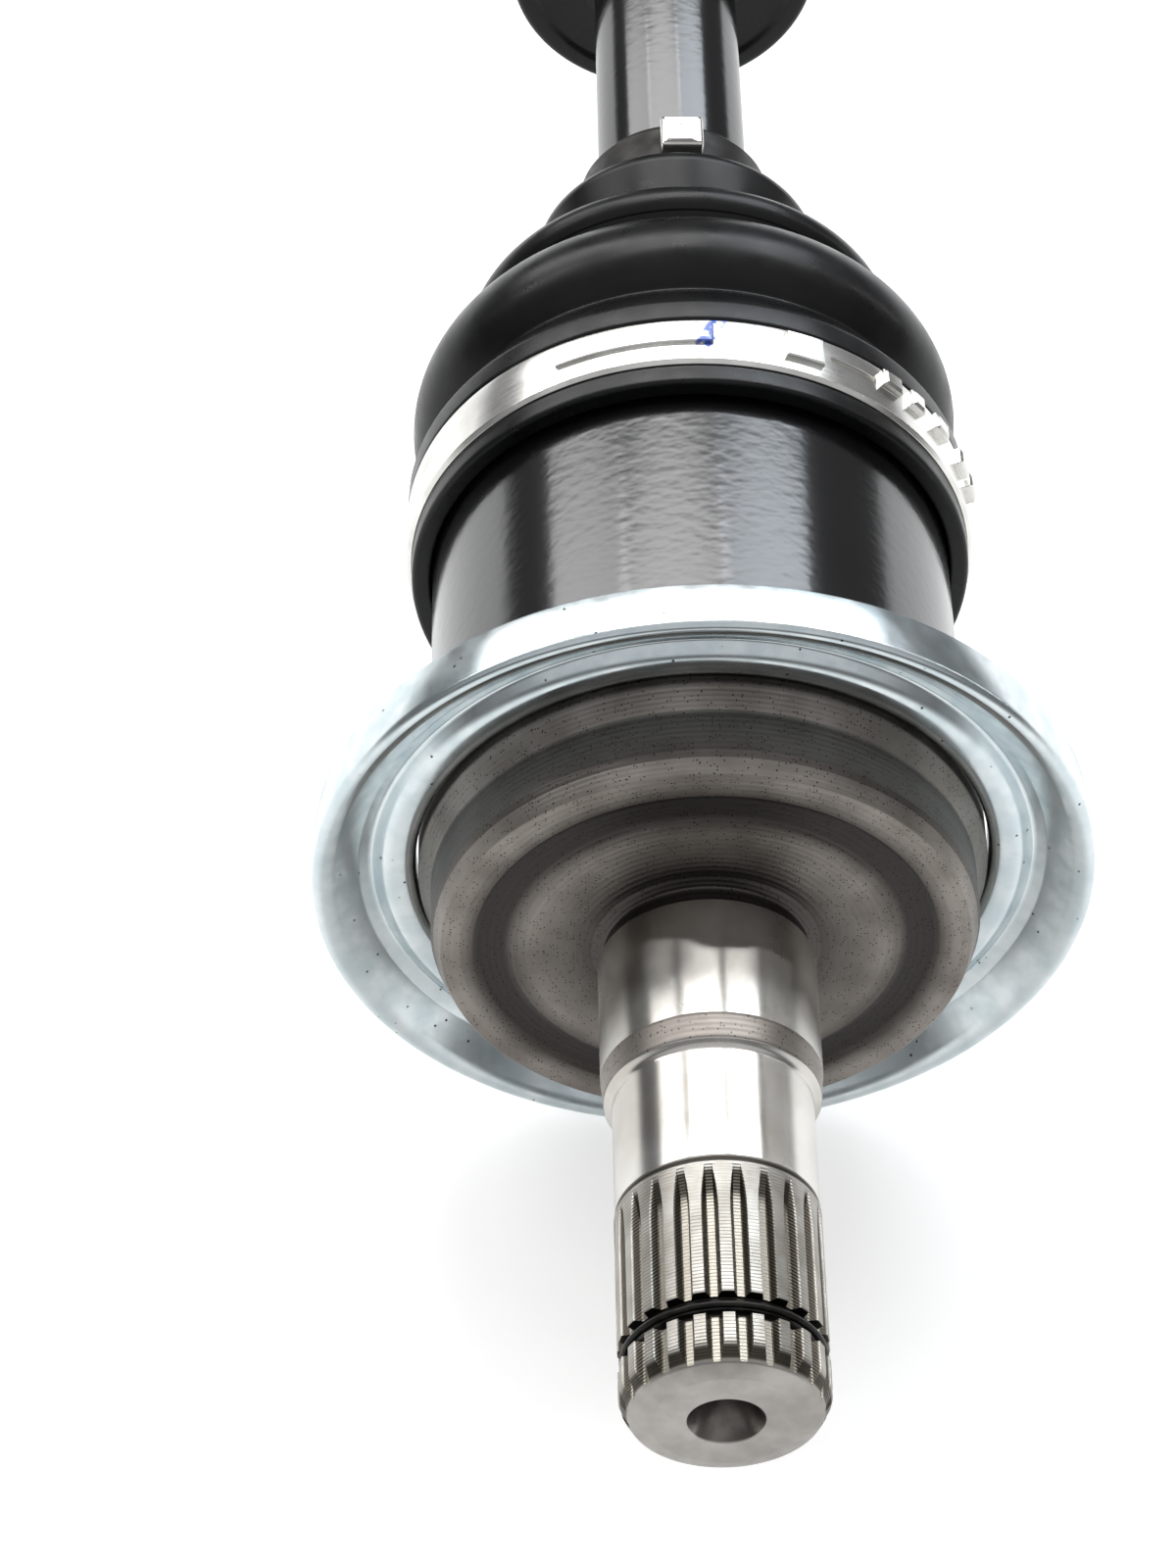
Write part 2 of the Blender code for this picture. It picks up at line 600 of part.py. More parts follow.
def cup_bore_radius():
    return INBOARD_RACE_RADIUS + SPHERE_GAP + INBOARD_CAGE_WALL + SPHERE_GAP


def cup_inside_outline():
    """Mouth and bore of the cup, from the outer edge of the mouth to the middle of the floor."""
    bore = cup_bore_radius()
    ring_seat = stop_ring_radius() + STOP_WIRE_RADIUS + FIT
    ring_half = STOP_WIRE_RADIUS + FIT
    flare = STOP_RING_FROM_MOUTH - 2 * ring_half
    corner = CUP_FLOOR_CORNER
    return [
        (CUP_RADIUS, CUP_MOUTH_DEPTH - MOUTH_CHAMFER),
        (CUP_RADIUS - MOUTH_CHAMFER, CUP_MOUTH_DEPTH),
        (CUP_MOUTH_RADIUS, CUP_MOUTH_DEPTH),
        (bore, CUP_MOUTH_DEPTH - flare),
        (bore, STOP_RING_DEPTH + ring_half),
        (ring_seat, STOP_RING_DEPTH + ring_half),
        (ring_seat, STOP_RING_DEPTH - ring_half),
        (bore, STOP_RING_DEPTH - ring_half),
        (bore, corner - CUP_FLOOR_DEPTH),
        (bore - corner, -CUP_FLOOR_DEPTH),
        (0.0, -CUP_FLOOR_DEPTH),
    ]


def stop_ring_radius():
    return cup_bore_radius() + STOP_RING_SINK


def stub_tip_y():
    return cup_stub_outline()[3][1]


def add_cup(finish, parent):
    cup = turned("inboard_cup", cup_stub_outline() + cup_inside_outline(), CUP_SIDES, finish, parent)
    cut(cup, straight_track_cutter("cup_tracks", INBOARD_BALL_RADIUS, INBOARD_BALL_CIRCLE, INBOARD_TRACK_SIDE_PLAY,
                                   CUP_TRACK_FROM_FLOOR - CUP_FLOOR_DEPTH, CUP_MOUTH_DEPTH + INBOARD_BALL_RADIUS,
                                   parent))
    spline_start = stub_tip_y()
    full_end = spline_start + STUB_SPLINE_LENGTH - STUB_SPLINE_RUNOUT
    cut(cup, spline_cutter("stub_spline_grooves", STUB_SPLINE_RADIUS, STUB_SPLINE_TEETH, STUB_SPLINE_DEPTH,
                           spline_start, full_end, parent))
    return cup


def shield_line():
    """Middle of the shield's sheet from the rear of its collar to the rear of its rim."""
    half = SHIELD_SHEET / 2
    collar = SHIELD_LAND_RADIUS + FIT + half
    rim = SHIELD_RIM_RADIUS - half
    flange = shield_flange_y()
    return [
        (collar, flange + SHIELD_COLLAR_LENGTH),
        (collar, flange + half),
        (SHIELD_FLANGE_RADIUS, flange),
        (SHIELD_VALLEY_RADIUS, flange + SHIELD_VALLEY_DEPTH),
        (SHIELD_SLOPE_RADIUS, flange - SHIELD_SLOPE_RISE),
        (rim - half, flange - SHIELD_RIM_RISE),
        (rim, flange - SHIELD_RIM_RISE + half),
        (rim, flange - SHIELD_RIM_RISE + SHIELD_RIM_LENGTH),
    ]


def shield_flange_y():
    """The flange lies flush with the front edge of the land that carries the collar."""
    return SHIELD_SHEET / 2 + FIT + CUP_FRONT_CHAMFER + CUP_FRONT_LENGTH + SHIELD_LAND_TAPER - CUP_FACE_DEPTH


def bellows_line(lip, lip_length, seat_end, seat_radius, clamp_radius, valleys, ridges, neck_start, end):
    """Outside of a boot, from the lip on the housing to the small end on the bar."""
    line = [(lip, seat_radius), (lip + lip_length, seat_radius)]
    rib = seat_radius + BOOT_SEAT_RIB
    line += [(lip + lip_length, clamp_radius), (seat_end, clamp_radius), (seat_end, rib)]
    line.append((seat_end + lip_length, rib))
    crown = BOOT_RIDGE_CROWN
    for (valley_y, valley), (ridge_y, ridge) in zip(valleys, ridges):
        line.append((valley_y, valley))
        line += [(ridge_y - crown, ridge - crown / 3), (ridge_y + crown, ridge - crown / 3)]
    line.append(valleys[-1])
    line += [(neck_start, boot_neck_radius()), (end, boot_neck_radius())]
    return line


def clamp_groove_width(clamp_width):
    return clamp_width + 2 * FIT


def boot_neck_radius():
    return BAR_RADIUS + FIT + BOOT_NECK_WALL


def boot_outline(seat_radius, seat_end, lip, lip_length, valleys, ridges, end):
    """Closed outline of a boot as (radius, distance past the joint centre towards the bar)."""
    bore = seat_radius + FIT
    outer = bore + BOOT_SEAT_WALL
    groove = large_clamp_radius(seat_radius) - FIT
    neck_start = end - BOOT_NECK_LENGTH
    outside = bellows_line(lip, lip_length, seat_end, outer, groove, valleys, ridges, neck_start, end)
    inside = [(end, BAR_RADIUS + FIT), (neck_start, BAR_RADIUS + FIT)]
    inside.append((valleys[-1][0], valleys[-1][1] - BOOT_WALL))
    for (valley_y, valley), (ridge_y, ridge) in list(zip(valleys, ridges))[::-1]:
        inside += [(ridge_y, ridge - BOOT_WALL), (valley_y, valley - BOOT_WALL)]
    return outside, inside, bore


def from_centre(folds, mouth):
    """Fold places counted from the joint centre instead of the mouth."""
    return [(mouth + away, radius) for away, radius in folds]


def large_clamp_radius(seat_radius):
    """Inside of a large clamp's band: it is let into the boot's end by most of its sheet."""
    return seat_radius + FIT + BOOT_SEAT_WALL - CLAMP_BAND


def add_boot(name, seat_radius, mouth, seat_length, lip_length, folds, reach, toward_bar, finish, parent):
    """Bellows boot: a seat on the housing, folds that get smaller, and a neck on the bar."""
    valleys, ridges = folds
    lip = mouth - seat_length
    seat_end = lip + lip_length + clamp_groove_width(LARGE_CLAMP_WIDTH)
    valleys = from_centre(valleys, mouth)
    outside, inside, bore = boot_outline(seat_radius, seat_end, lip, lip_length, valleys,
                                         from_centre(ridges, mouth), mouth + reach)
    inside += [(mouth + FIT + BOOT_MOUTH_SLOPE, valleys[0][1] - BOOT_WALL), (mouth + FIT, bore), (lip, bore)]
    outline = [(radius, toward_bar * away) for away, radius in outside + inside]
    return turned(name, outline, BOOT_SIDES, finish, parent, closed=True)


def add_boot_clamps(prefix, seat_radius, mouth, seat_length, lip_length, reach, toward_bar, finish, parent):
    """The large clamp on the housing and the small clamp on the bar."""
    large_y = mouth - seat_length + lip_length + clamp_groove_width(LARGE_CLAMP_WIDTH) / 2
    band_clamp(prefix + "_boot_large_clamp", large_clamp_radius(seat_radius), toward_bar * large_y,
               LARGE_CLAMP_WIDTH, LARGE_CLAMP_LAP, CUP_SIDES, finish, parent, LARGE_CLAMP_TURN)
    small_y = mouth + reach - SMALL_CLAMP_TO_END - SMALL_CLAMP_WIDTH / 2
    band_clamp(prefix + "_boot_small_clamp", boot_neck_radius() + FIT, toward_bar * small_y,
               SMALL_CLAMP_WIDTH, SMALL_CLAMP_LAP, BAR_SIDES, finish, parent, SMALL_CLAMP_TURN)


def bell_bore_radius():
    return OUTBOARD_RACE_RADIUS + SPHERE_GAP + OUTBOARD_CAGE_WALL + SPHERE_GAP


def bell_outline():
    """Outline of the bell and its stub, from the middle of the floor round the mouth to the stub's tip."""
    bore = bell_bore_radius()
    floor_angle = math.asin(BELL_FLOOR_DEPTH / bore)
    mouth_angle = -math.asin(BELL_BORE_EDGE / bore)
    shoulder = BELL_NECK_DEPTH - BELL_SHOULDER_START
    spline_start = HUB_SEAT_DEPTH + OUTER_SPLINE_FILLET
    spline_end = spline_start + OUTER_SPLINE_LENGTH
    thread_start = spline_end + THREAD_NECK_LENGTH
    tip = thread_start + THREAD_LENGTH
    outline = [(0.0, BELL_FLOOR_DEPTH)]
    outline += arc_points(bore, floor_angle, mouth_angle, 6)
    outline += [
        (BELL_MOUTH_RADIUS, -BELL_MOUTH_DEPTH),
        (BELL_SEAT_RADIUS - MOUTH_CHAMFER, -BELL_MOUTH_DEPTH),
        (BELL_SEAT_RADIUS, MOUTH_CHAMFER - BELL_MOUTH_DEPTH),
        (BELL_SEAT_RADIUS, BELL_SEAT_LENGTH - BELL_MOUTH_DEPTH),
        (BELL_RADIUS, BELL_SEAT_LENGTH - BELL_MOUTH_DEPTH + BELL_RADIUS - BELL_SEAT_RADIUS),
    ]
    for angle in (0.0, math.radians(35), math.radians(65), math.radians(90)):
        outline.append((BELL_NECK_RADIUS + (BELL_RADIUS - BELL_NECK_RADIUS) * math.cos(angle),
                        BELL_SHOULDER_START + shoulder * math.sin(angle)))
    outline += [
        (BELL_NECK_RADIUS, HUB_SEAT_DEPTH),
        (OUTER_SPLINE_RADIUS + OUTER_SPLINE_FILLET, HUB_SEAT_DEPTH),
        (OUTER_SPLINE_RADIUS, spline_start),
        (OUTER_SPLINE_RADIUS, spline_end),
        (THREAD_NECK_RADIUS, spline_end + (OUTER_SPLINE_RADIUS - THREAD_NECK_RADIUS) / 3),
        (THREAD_NECK_RADIUS, thread_start),
        (THREAD_RADIUS, thread_start + THREAD_NECK_DEPTH),
        (THREAD_RADIUS, tip - THREAD_CHAMFER),
        (THREAD_RADIUS - THREAD_CHAMFER, tip),
        (CENTRE_HOLE_RADIUS, tip),
        (CENTRE_DRILL_RADIUS, tip - CENTRE_HOLE_CONE),
        (0.0, tip - CENTRE_DRILL_DEPTH),
    ]
    return outline


def add_bell(finish, parent):
    bell = turned("outboard_bell", bell_outline(), CUP_SIDES, finish, parent)
    cut(bell, curved_track_cutter("bell_tracks", OUTBOARD_BALL_RADIUS, OUTBOARD_BALL_CIRCLE,
                                  OUTBOARD_TRACK_SIDE_PLAY, parent))
    spline_end = HUB_SEAT_DEPTH + OUTER_SPLINE_FILLET + OUTER_SPLINE_LENGTH
    full_end = HUB_SEAT_DEPTH + OUTER_SPLINE_FILLET + OUTER_SPLINE_RUNOUT
    cut(bell, spline_cutter("bell_spline_grooves", OUTER_SPLINE_RADIUS, OUTER_SPLINE_TEETH, OUTER_SPLINE_DEPTH,
                            spline_end, full_end, parent))
    return bell


def add_damper(finishes):
    """Damper: a rubber body on the bar, a steel weight in its pocket, and a clamp on its neck."""
    bore = BAR_RADIUS + FIT
    sleeve = bore + DAMPER_SLEEVE_WALL
    neck = bore + DAMPER_NECK_WALL
    pocket = DAMPER_RADIUS - DAMPER_COVER
    end = DAMPER_LENGTH
    rubber = [
        (bore, 0.0),
        (DAMPER_RADIUS - DAMPER_EDGE, 0.0),
        (DAMPER_RADIUS, DAMPER_EDGE),
        (DAMPER_RADIUS, end),
        (pocket, end),
        (pocket, DAMPER_FRONT_WALL),
        (sleeve, DAMPER_FRONT_WALL),
        (sleeve, end),
        (neck, end),
        (neck, end + DAMPER_NECK_LENGTH),
        (bore, end + DAMPER_NECK_LENGTH),
    ]
    weight = [
        (sleeve + FIT, DAMPER_FRONT_WALL + FIT),
        (pocket - FIT, DAMPER_FRONT_WALL + FIT),
        (pocket - FIT, end - DAMPER_WEIGHT_RECESS),
        (sleeve + FIT, end - DAMPER_WEIGHT_RECESS),
    ]
    place = [(radius, DAMPER_FRONT_Y + y) for radius, y in rubber]
    turned("damper_rubber", place, BAR_SIDES, finishes["boot_rubber"], closed=True)
    place = [(radius, DAMPER_FRONT_Y + y) for radius, y in weight]
    turned("damper_weight", place, BAR_SIDES, finishes["hardened_steel"], closed=True)
    clamp_y = DAMPER_FRONT_Y + end + DAMPER_NECK_LENGTH / 2
    band_clamp("damper_clamp", neck + FIT, clamp_y, SMALL_CLAMP_WIDTH, SMALL_CLAMP_LAP, BAR_SIDES,
               finishes["stainless_band"], None, SMALL_CLAMP_TURN)


def add_inboard_joint(finishes):
    centre = add_empty("inboard_joint_centre", INBOARD_CENTRE_Y)
    add_race("inboard_race", INBOARD_RACE_RADIUS, INBOARD_RACE_HALF_WIDTH, INBOARD_BALL_RADIUS,
             INBOARD_BALL_CIRCLE, INBOARD_TRACK_SIDE_PLAY, finishes["hardened_steel"], centre)
    flat_clip("inboard_race_clip", -race_clip_y(INBOARD_RACE_HALF_WIDTH), finishes["spring_steel"], centre)
    add_cage("inboard_cage", INBOARD_RACE_RADIUS + SPHERE_GAP, INBOARD_CAGE_WALL, INBOARD_CAGE_HALF_WIDTH,
             INBOARD_BALL_RADIUS, INBOARD_BALL_CIRCLE, INBOARD_TRACK_SIDE_PLAY, finishes["hardened_steel"], centre)
    add_balls("inboard", INBOARD_BALL_RADIUS, INBOARD_BALL_CIRCLE, finishes["bearing_steel"], centre)
    add_cup(finishes["turned_steel"], centre)
    wire_ring("cup_stop_ring", stop_ring_radius(), STOP_RING_DEPTH, STOP_WIRE_RADIUS, STOP_RING_OPENING,
              STOP_RING_TURN, finishes["spring_steel"], centre)
    clip_radius = STUB_CLIP_GROOVE_RADIUS + FIT + STUB_CLIP_WIRE_RADIUS
    wire_ring("stub_clip", clip_radius, stub_tip_y() + STUB_CLIP_FROM_END, STUB_CLIP_WIRE_RADIUS,
              STUB_CLIP_OPENING, STUB_CLIP_TURN, finishes["spring_steel"], centre)
    turned("dust_shield", sheet_outline(shield_line(), SHIELD_SHEET), SHIELD_SIDES, finishes["zinc_plate"],
           centre, closed=True)
    add_boot("inboard_boot", CUP_RADIUS, CUP_MOUTH_DEPTH, INBOARD_BOOT_SEAT_LENGTH, INBOARD_BOOT_LIP_LENGTH,
             (INBOARD_BOOT_VALLEYS, INBOARD_BOOT_RIDGES), INBOARD_BOOT_REACH, 1, finishes["boot_rubber"], centre)
    add_boot_clamps("inboard", CUP_RADIUS, CUP_MOUTH_DEPTH, INBOARD_BOOT_SEAT_LENGTH, INBOARD_BOOT_LIP_LENGTH,
                    INBOARD_BOOT_REACH, 1, finishes["stainless_band"], centre)


def add_outboard_joint(finishes):
    centre = add_empty("outboard_joint_centre", OUTBOARD_CENTRE_Y)
    add_race("outboard_race", OUTBOARD_RACE_RADIUS, OUTBOARD_RACE_HALF_WIDTH, OUTBOARD_BALL_RADIUS,
             OUTBOARD_BALL_CIRCLE, OUTBOARD_TRACK_SIDE_PLAY, finishes["hardened_steel"], centre)
    flat_clip("outboard_race_clip", race_clip_y(OUTBOARD_RACE_HALF_WIDTH), finishes["spring_steel"], centre)
    add_cage("outboard_cage", OUTBOARD_RACE_RADIUS + SPHERE_GAP, OUTBOARD_CAGE_WALL, OUTBOARD_CAGE_HALF_WIDTH,
             OUTBOARD_BALL_RADIUS, OUTBOARD_BALL_CIRCLE, OUTBOARD_TRACK_SIDE_PLAY, finishes["hardened_steel"],
             centre)
    add_balls("outboard", OUTBOARD_BALL_RADIUS, OUTBOARD_BALL_CIRCLE, finishes["bearing_steel"], centre)
    add_bell(finishes["turned_steel"], centre)
    add_boot("outboard_boot", BELL_SEAT_RADIUS, BELL_MOUTH_DEPTH, OUTBOARD_BOOT_SEAT_LENGTH,
             OUTBOARD_BOOT_LIP_LENGTH, (OUTBOARD_BOOT_VALLEYS, OUTBOARD_BOOT_RIDGES), OUTBOARD_BOOT_REACH, -1,
             finishes["boot_rubber"], centre)
    add_boot_clamps("outboard", BELL_SEAT_RADIUS, BELL_MOUTH_DEPTH, OUTBOARD_BOOT_SEAT_LENGTH,
                    OUTBOARD_BOOT_LIP_LENGTH, OUTBOARD_BOOT_REACH, -1, finishes["stainless_band"], centre)


def build():
    clear_scene()
    finishes = make_finishes()
    add_bar(finishes["black_paint"])
    add_damper(finishes)
    add_inboard_joint(finishes)
    add_outboard_joint(finishes)


build()
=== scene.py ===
# %% [markdown]
# # Axle shaft with two ball joints
# A driven wheel gets its torque through this shaft. A bar in the middle carries a ball joint at each
# end, and a rubber boot keeps the grease in each joint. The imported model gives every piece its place.
# This lesson dresses it: each step models a visible piece, or makes the finish that it wears.

# %% Load the frame
import json
import math

import bpy
from mathutils import Matrix, Vector


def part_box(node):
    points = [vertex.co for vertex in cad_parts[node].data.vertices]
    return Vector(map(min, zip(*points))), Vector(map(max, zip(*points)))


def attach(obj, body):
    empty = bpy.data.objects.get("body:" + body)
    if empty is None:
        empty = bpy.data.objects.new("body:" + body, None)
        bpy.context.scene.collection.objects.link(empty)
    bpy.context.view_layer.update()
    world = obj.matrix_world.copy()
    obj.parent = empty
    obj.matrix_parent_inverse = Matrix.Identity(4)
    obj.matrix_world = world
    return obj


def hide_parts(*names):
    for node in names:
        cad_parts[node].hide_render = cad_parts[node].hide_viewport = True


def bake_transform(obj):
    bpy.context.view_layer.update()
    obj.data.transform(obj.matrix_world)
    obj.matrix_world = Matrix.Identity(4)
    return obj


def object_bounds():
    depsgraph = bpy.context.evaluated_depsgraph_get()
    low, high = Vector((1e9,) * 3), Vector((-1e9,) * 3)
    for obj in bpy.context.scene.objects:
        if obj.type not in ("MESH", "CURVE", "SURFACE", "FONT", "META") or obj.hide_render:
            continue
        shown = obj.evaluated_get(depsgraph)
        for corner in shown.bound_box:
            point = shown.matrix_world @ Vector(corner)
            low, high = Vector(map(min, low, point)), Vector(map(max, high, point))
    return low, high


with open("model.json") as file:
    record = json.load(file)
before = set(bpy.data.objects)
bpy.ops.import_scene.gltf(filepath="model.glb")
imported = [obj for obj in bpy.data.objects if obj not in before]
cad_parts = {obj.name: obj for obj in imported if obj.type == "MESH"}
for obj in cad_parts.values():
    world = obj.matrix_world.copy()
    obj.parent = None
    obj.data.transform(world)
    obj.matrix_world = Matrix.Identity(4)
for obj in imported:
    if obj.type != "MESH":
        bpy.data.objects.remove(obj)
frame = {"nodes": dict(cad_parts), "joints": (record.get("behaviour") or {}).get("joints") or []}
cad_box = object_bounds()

MM = 0.001
TURN = 2 * math.pi
print("nodes in the frame:", len(frame["nodes"]))

# %% [markdown]
# ## Places
# The axle lies along Y. Turned work is measured from an end, as on a lathe, so the places that the
# outlines count from are read from the frame: the stub's end, the two joint centres and the tips.

# %% Places along the axle
STUB_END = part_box("inboard_cup")[0].y
CUP_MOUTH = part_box("inboard_cup")[1].y
joint_place = {joint["name"]: joint["pos_m"][1] for joint in frame["joints"] if "pos_m" in joint}
INBOARD_CENTRE = joint_place["inboard_lift_bar"]
OUTBOARD_CENTRE = joint_place["outboard_lift_bar"]
DAMPER_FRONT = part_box("damper_rubber")[0].y
FLOOR = cad_box[0].z
print("stub end", round(STUB_END, 4))
print("joint centres", round(INBOARD_CENTRE, 4), round(OUTBOARD_CENTRE, 4))

# %% [markdown]
# ## Tools for modelling by hand
# An operator acts on all that is selected, and the frame's nodes are still selected, so every step
# starts by deselecting. A turned piece starts as one point. Extruding that point along the outline
# and spinning the line round the axle is what a lathe does, and it gives clean rings of faces.

# %% Select nothing, start and finish a piece
def leave_edit():
    bpy.ops.object.mode_set(mode="OBJECT")


def deselect():
    """Deselect every object, in object mode."""
    if bpy.context.object and bpy.context.object.mode != "OBJECT":
        leave_edit()
    bpy.ops.object.select_all(action="DESELECT")


def take(piece):
    """Make one object the only selected and active one."""
    deselect()
    piece.select_set(True)
    bpy.context.view_layer.objects.active = piece


def join(piece, others):
    """Join the others to a piece."""
    take(piece)
    for other in others:
        other.select_set(True)
    bpy.ops.object.join()


def fix_place():
    """Put the place, turn and scale of what is selected into its mesh."""
    bpy.ops.object.transform_apply(location=True, rotation=True, scale=True)


def start_edit(elements="VERT"):
    """Edit the active object with all of it selected."""
    bpy.ops.object.mode_set(mode="EDIT")
    bpy.ops.mesh.select_mode(type=elements)
    bpy.ops.mesh.select_all(action="SELECT")


def finish_piece(piece, name, sharp=35):
    """Put the place into the mesh, smooth all but the sharp edges, and name the piece."""
    take(piece)
    fix_place()
    bpy.ops.object.shade_smooth_by_angle(angle=math.radians(sharp))
    piece.name = name
    piece.data.name = name
    print(name, "has", len(piece.data.polygons), "faces")
    return piece


# %% Rounded outlines
def rounded(corners, origin, direction=1, closed=False, facet=14):
    """Points (radius, y) in metres along (radius, distance, rounding) corners in millimetres.
    The distance counts from origin along direction, and each rounding becomes an arc of facets."""
    places = [Vector((radius, distance)) for radius, distance, _ in corners]
    points = []
    for index, (here, (_, _, rounding)) in enumerate(zip(places, corners)):
        inside = closed or 0 < index < len(corners) - 1
        if rounding and inside:
            arrive, leave = here - places[index - 1], places[(index + 1) % len(places)] - here
            turn = arrive.angle_signed(leave)
            reach = min(rounding * math.tan(abs(turn) / 2), 0.48 * arrive.length, 0.48 * leave.length)
            start, end = here - arrive.normalized() * reach, here + leave.normalized() * reach
            steps = max(2, math.ceil(abs(turn) / math.radians(facet)))
            for step in range(steps + 1):
                share = step / steps
                points.append(start.lerp(here, share).lerp(here.lerp(end, share), share))
        else:
            points.append(here)
    return [(point.x * MM, origin + direction * point.y * MM) for point in points]


def arc(radius, place, across, along, angles):
    """Corners on an arc about the point at that radius and place, at angles in degrees."""
    return [(radius + across * math.cos(math.radians(angle)),
             place + along * math.sin(math.radians(angle)), 0) for angle in angles]


# %% Turn an outline on the lathe
def draw_line(outline, closed):
    """Start from a plane merged to one point and extrude it along the outline, in edit mode."""
    deselect()
    radius, y = outline[0]
    bpy.ops.mesh.primitive_plane_add(size=MM, location=(radius, y, 0))
    piece = bpy.context.object
    fix_place()
    start_edit()
    bpy.ops.mesh.merge(type="CENTER")
    for near, far in zip(outline, outline[1:] + outline[:1] * closed):
        step = (far[0] - near[0], far[1] - near[1], 0)
        bpy.ops.mesh.extrude_region_move(TRANSFORM_OT_translate={"value": step})
    return piece


def merge_doubles():
    bpy.ops.mesh.select_all(action="SELECT")
    bpy.ops.mesh.remove_doubles(threshold=1e-6)


def spin_closed(steps, angle=TURN):
    """Spin the line in edit mode round the axle, merge what meets, and fill any open ends."""
    merge_doubles()
    bpy.ops.mesh.spin(steps=steps, angle=angle, center=(0, 0, 0), axis=(0, 1, 0))
    merge_doubles()
    if angle < TURN:
        bpy.ops.mesh.fill_holes(sides=0)
    bpy.ops.mesh.normals_make_consistent(inside=False)
    leave_edit()


def turned(name, outline, steps=144, closed=False, sharp=35):
    """A solid of revolution about the axle. A closed outline makes a ring."""
    piece = draw_line(outline, closed)
    spin_closed(steps)
    return finish_piece(piece, name, sharp)


# %% [markdown]
# ## Tools for finishes
# Each finish is made of nodes that read Object coordinates, which are metres here, so a pattern's
# scale is one divided by a real size. Lathe marks run round the axle: they are the same all the way
# round, so their noise reads only the distance from the axle and the place along it.

# %% Colours and nodes
def colour(code):
    """An sRGB hex code as linear red, green, blue and alpha."""
    parts = [int(code[place:place + 2], 16) / 255 for place in (0, 2, 4)]
    return tuple(p / 12.92 if p <= 0.04045 else ((p + 0.055) / 1.055) ** 2.4 for p in parts) + (1.0,)


def add(tree, kind, inputs=None, **settings):
    """Add a node, set its properties, and fill or link its inputs."""
    node = tree.nodes.new("ShaderNode" + kind)
    for name, value in settings.items():
        setattr(node, name, value)
    for name, value in (inputs or {}).items():
        if isinstance(value, bpy.types.NodeSocket):
            tree.links.new(value, node.inputs[name])
        else:
            node.inputs[name].default_value = value
    return node


def new_finish(name, **sockets):
    """A material, its tree and its shader, with constants set on the shader's own sockets."""
    finish = bpy.data.materials.new(name)
    finish.use_nodes = True
    shader = finish.node_tree.nodes["Principled BSDF"]
    for socket, value in sockets.items():
        shader.inputs[socket.replace("_", " ")].default_value = value
    return finish, finish.node_tree, shader


def link(tree, node, **sockets):
    """Link values to a node's sockets. An underscore stands for a space."""
    for socket, value in sockets.items():
        tree.links.new(value, node.inputs[socket.replace("_", " ")])


# %% Sums, blends, noise and bumps
def reckon(tree, operation, *values):
    """The value of one sum."""
    return add(tree, "Math", dict(enumerate(values)), operation=operation).outputs["Value"]


def spread(tree, value, start, end, low=0.0, high=1.0):
    """A value between start and end, spread from low to high and held there beyond."""
    return add(tree, "MapRange", {"Value": value, "From Min": start, "From Max": end, "To Min": low,
                                  "To Max": high}).outputs["Result"]


def over(tree, share, base, cover):
    """The colour cover laid over base by share."""
    return add(tree, "Mix", {0: share, 6: base, 7: cover}, data_type="RGBA").outputs[2]


def per_mm(size):
    """Texture scale for a pattern that repeats about every size millimetres."""
    return 1 / (size * MM)


def noise(tree, place, size, detail):
    """Soft noise with features about size millimetres wide."""
    inputs = {"Vector": place, "Scale": per_mm(size), "Detail": detail}
    return add(tree, "TexNoise", inputs).outputs["Fac"]


def bump(tree, height, strength, depth, below=None):
    """A surface raised by height, depth millimetres at most, on top of the bump below."""
    inputs = {"Height": height, "Strength": strength, "Distance": depth * MM}
    if below is not None:
        inputs["Normal"] = below
    return add(tree, "Bump", inputs).outputs["Normal"]


# %% Places and patterns on a turned surface
def lathe_places(tree):
    """The place in the object, the distance from the axle and the place along it, in metres."""
    place = add(tree, "TexCoord").outputs["Object"]
    parts = add(tree, "SeparateXYZ", {"Vector": place})
    across = add(tree, "CombineXYZ", {"X": parts.outputs["X"], "Z": parts.outputs["Z"]})
    radius = add(tree, "VectorMath", {0: across.outputs["Vector"]}, operation="LENGTH").outputs["Value"]
    return place, radius, parts.outputs["Y"]


def lathe_marks(tree, radius, along, spacing):
    """Fine rings such as a turning tool or a grinding wheel leaves, spacing millimetres apart."""
    place = add(tree, "CombineXYZ", {"X": radius, "Y": along}).outputs["Vector"]
    return noise(tree, place, spacing, 3.0)


def tool_rings(tree, radius, along, feed):
    """Even rings that a lathe tool leaves, one for each feed of that many millimetres."""
    phase = reckon(tree, "MULTIPLY", reckon(tree, "ADD", radius, along), TURN * per_mm(feed))
    return reckon(tree, "SINE", phase)


def mottled(tree, place, size, light, dark):
    """Two colours mixed in soft patches of size millimetres."""
    share = spread(tree, noise(tree, place, size, 4.0), 0.35, 0.65)
    return over(tree, share, colour(light), colour(dark))


def patchy(tree, place, size, detail, low, high):
    """A value that drifts between low and high in patches of size millimetres."""
    return spread(tree, noise(tree, place, size, detail), 0.3, 0.7, low, high)


def specks(tree, place, size, share):
    """1 in small dark spots up to size millimetres wide and 0 elsewhere; share is how many show."""
    cells = add(tree, "TexVoronoi", {"Vector": place, "Scale": per_mm(size * 2.2)})
    chosen = add(tree, "SeparateXYZ", {"Vector": cells.outputs["Color"]}).outputs["X"]
    few = reckon(tree, "LESS_THAN", chosen, share)
    return reckon(tree, "MULTIPLY", spread(tree, cells.outputs["Distance"], 0.30, 0.18), few)


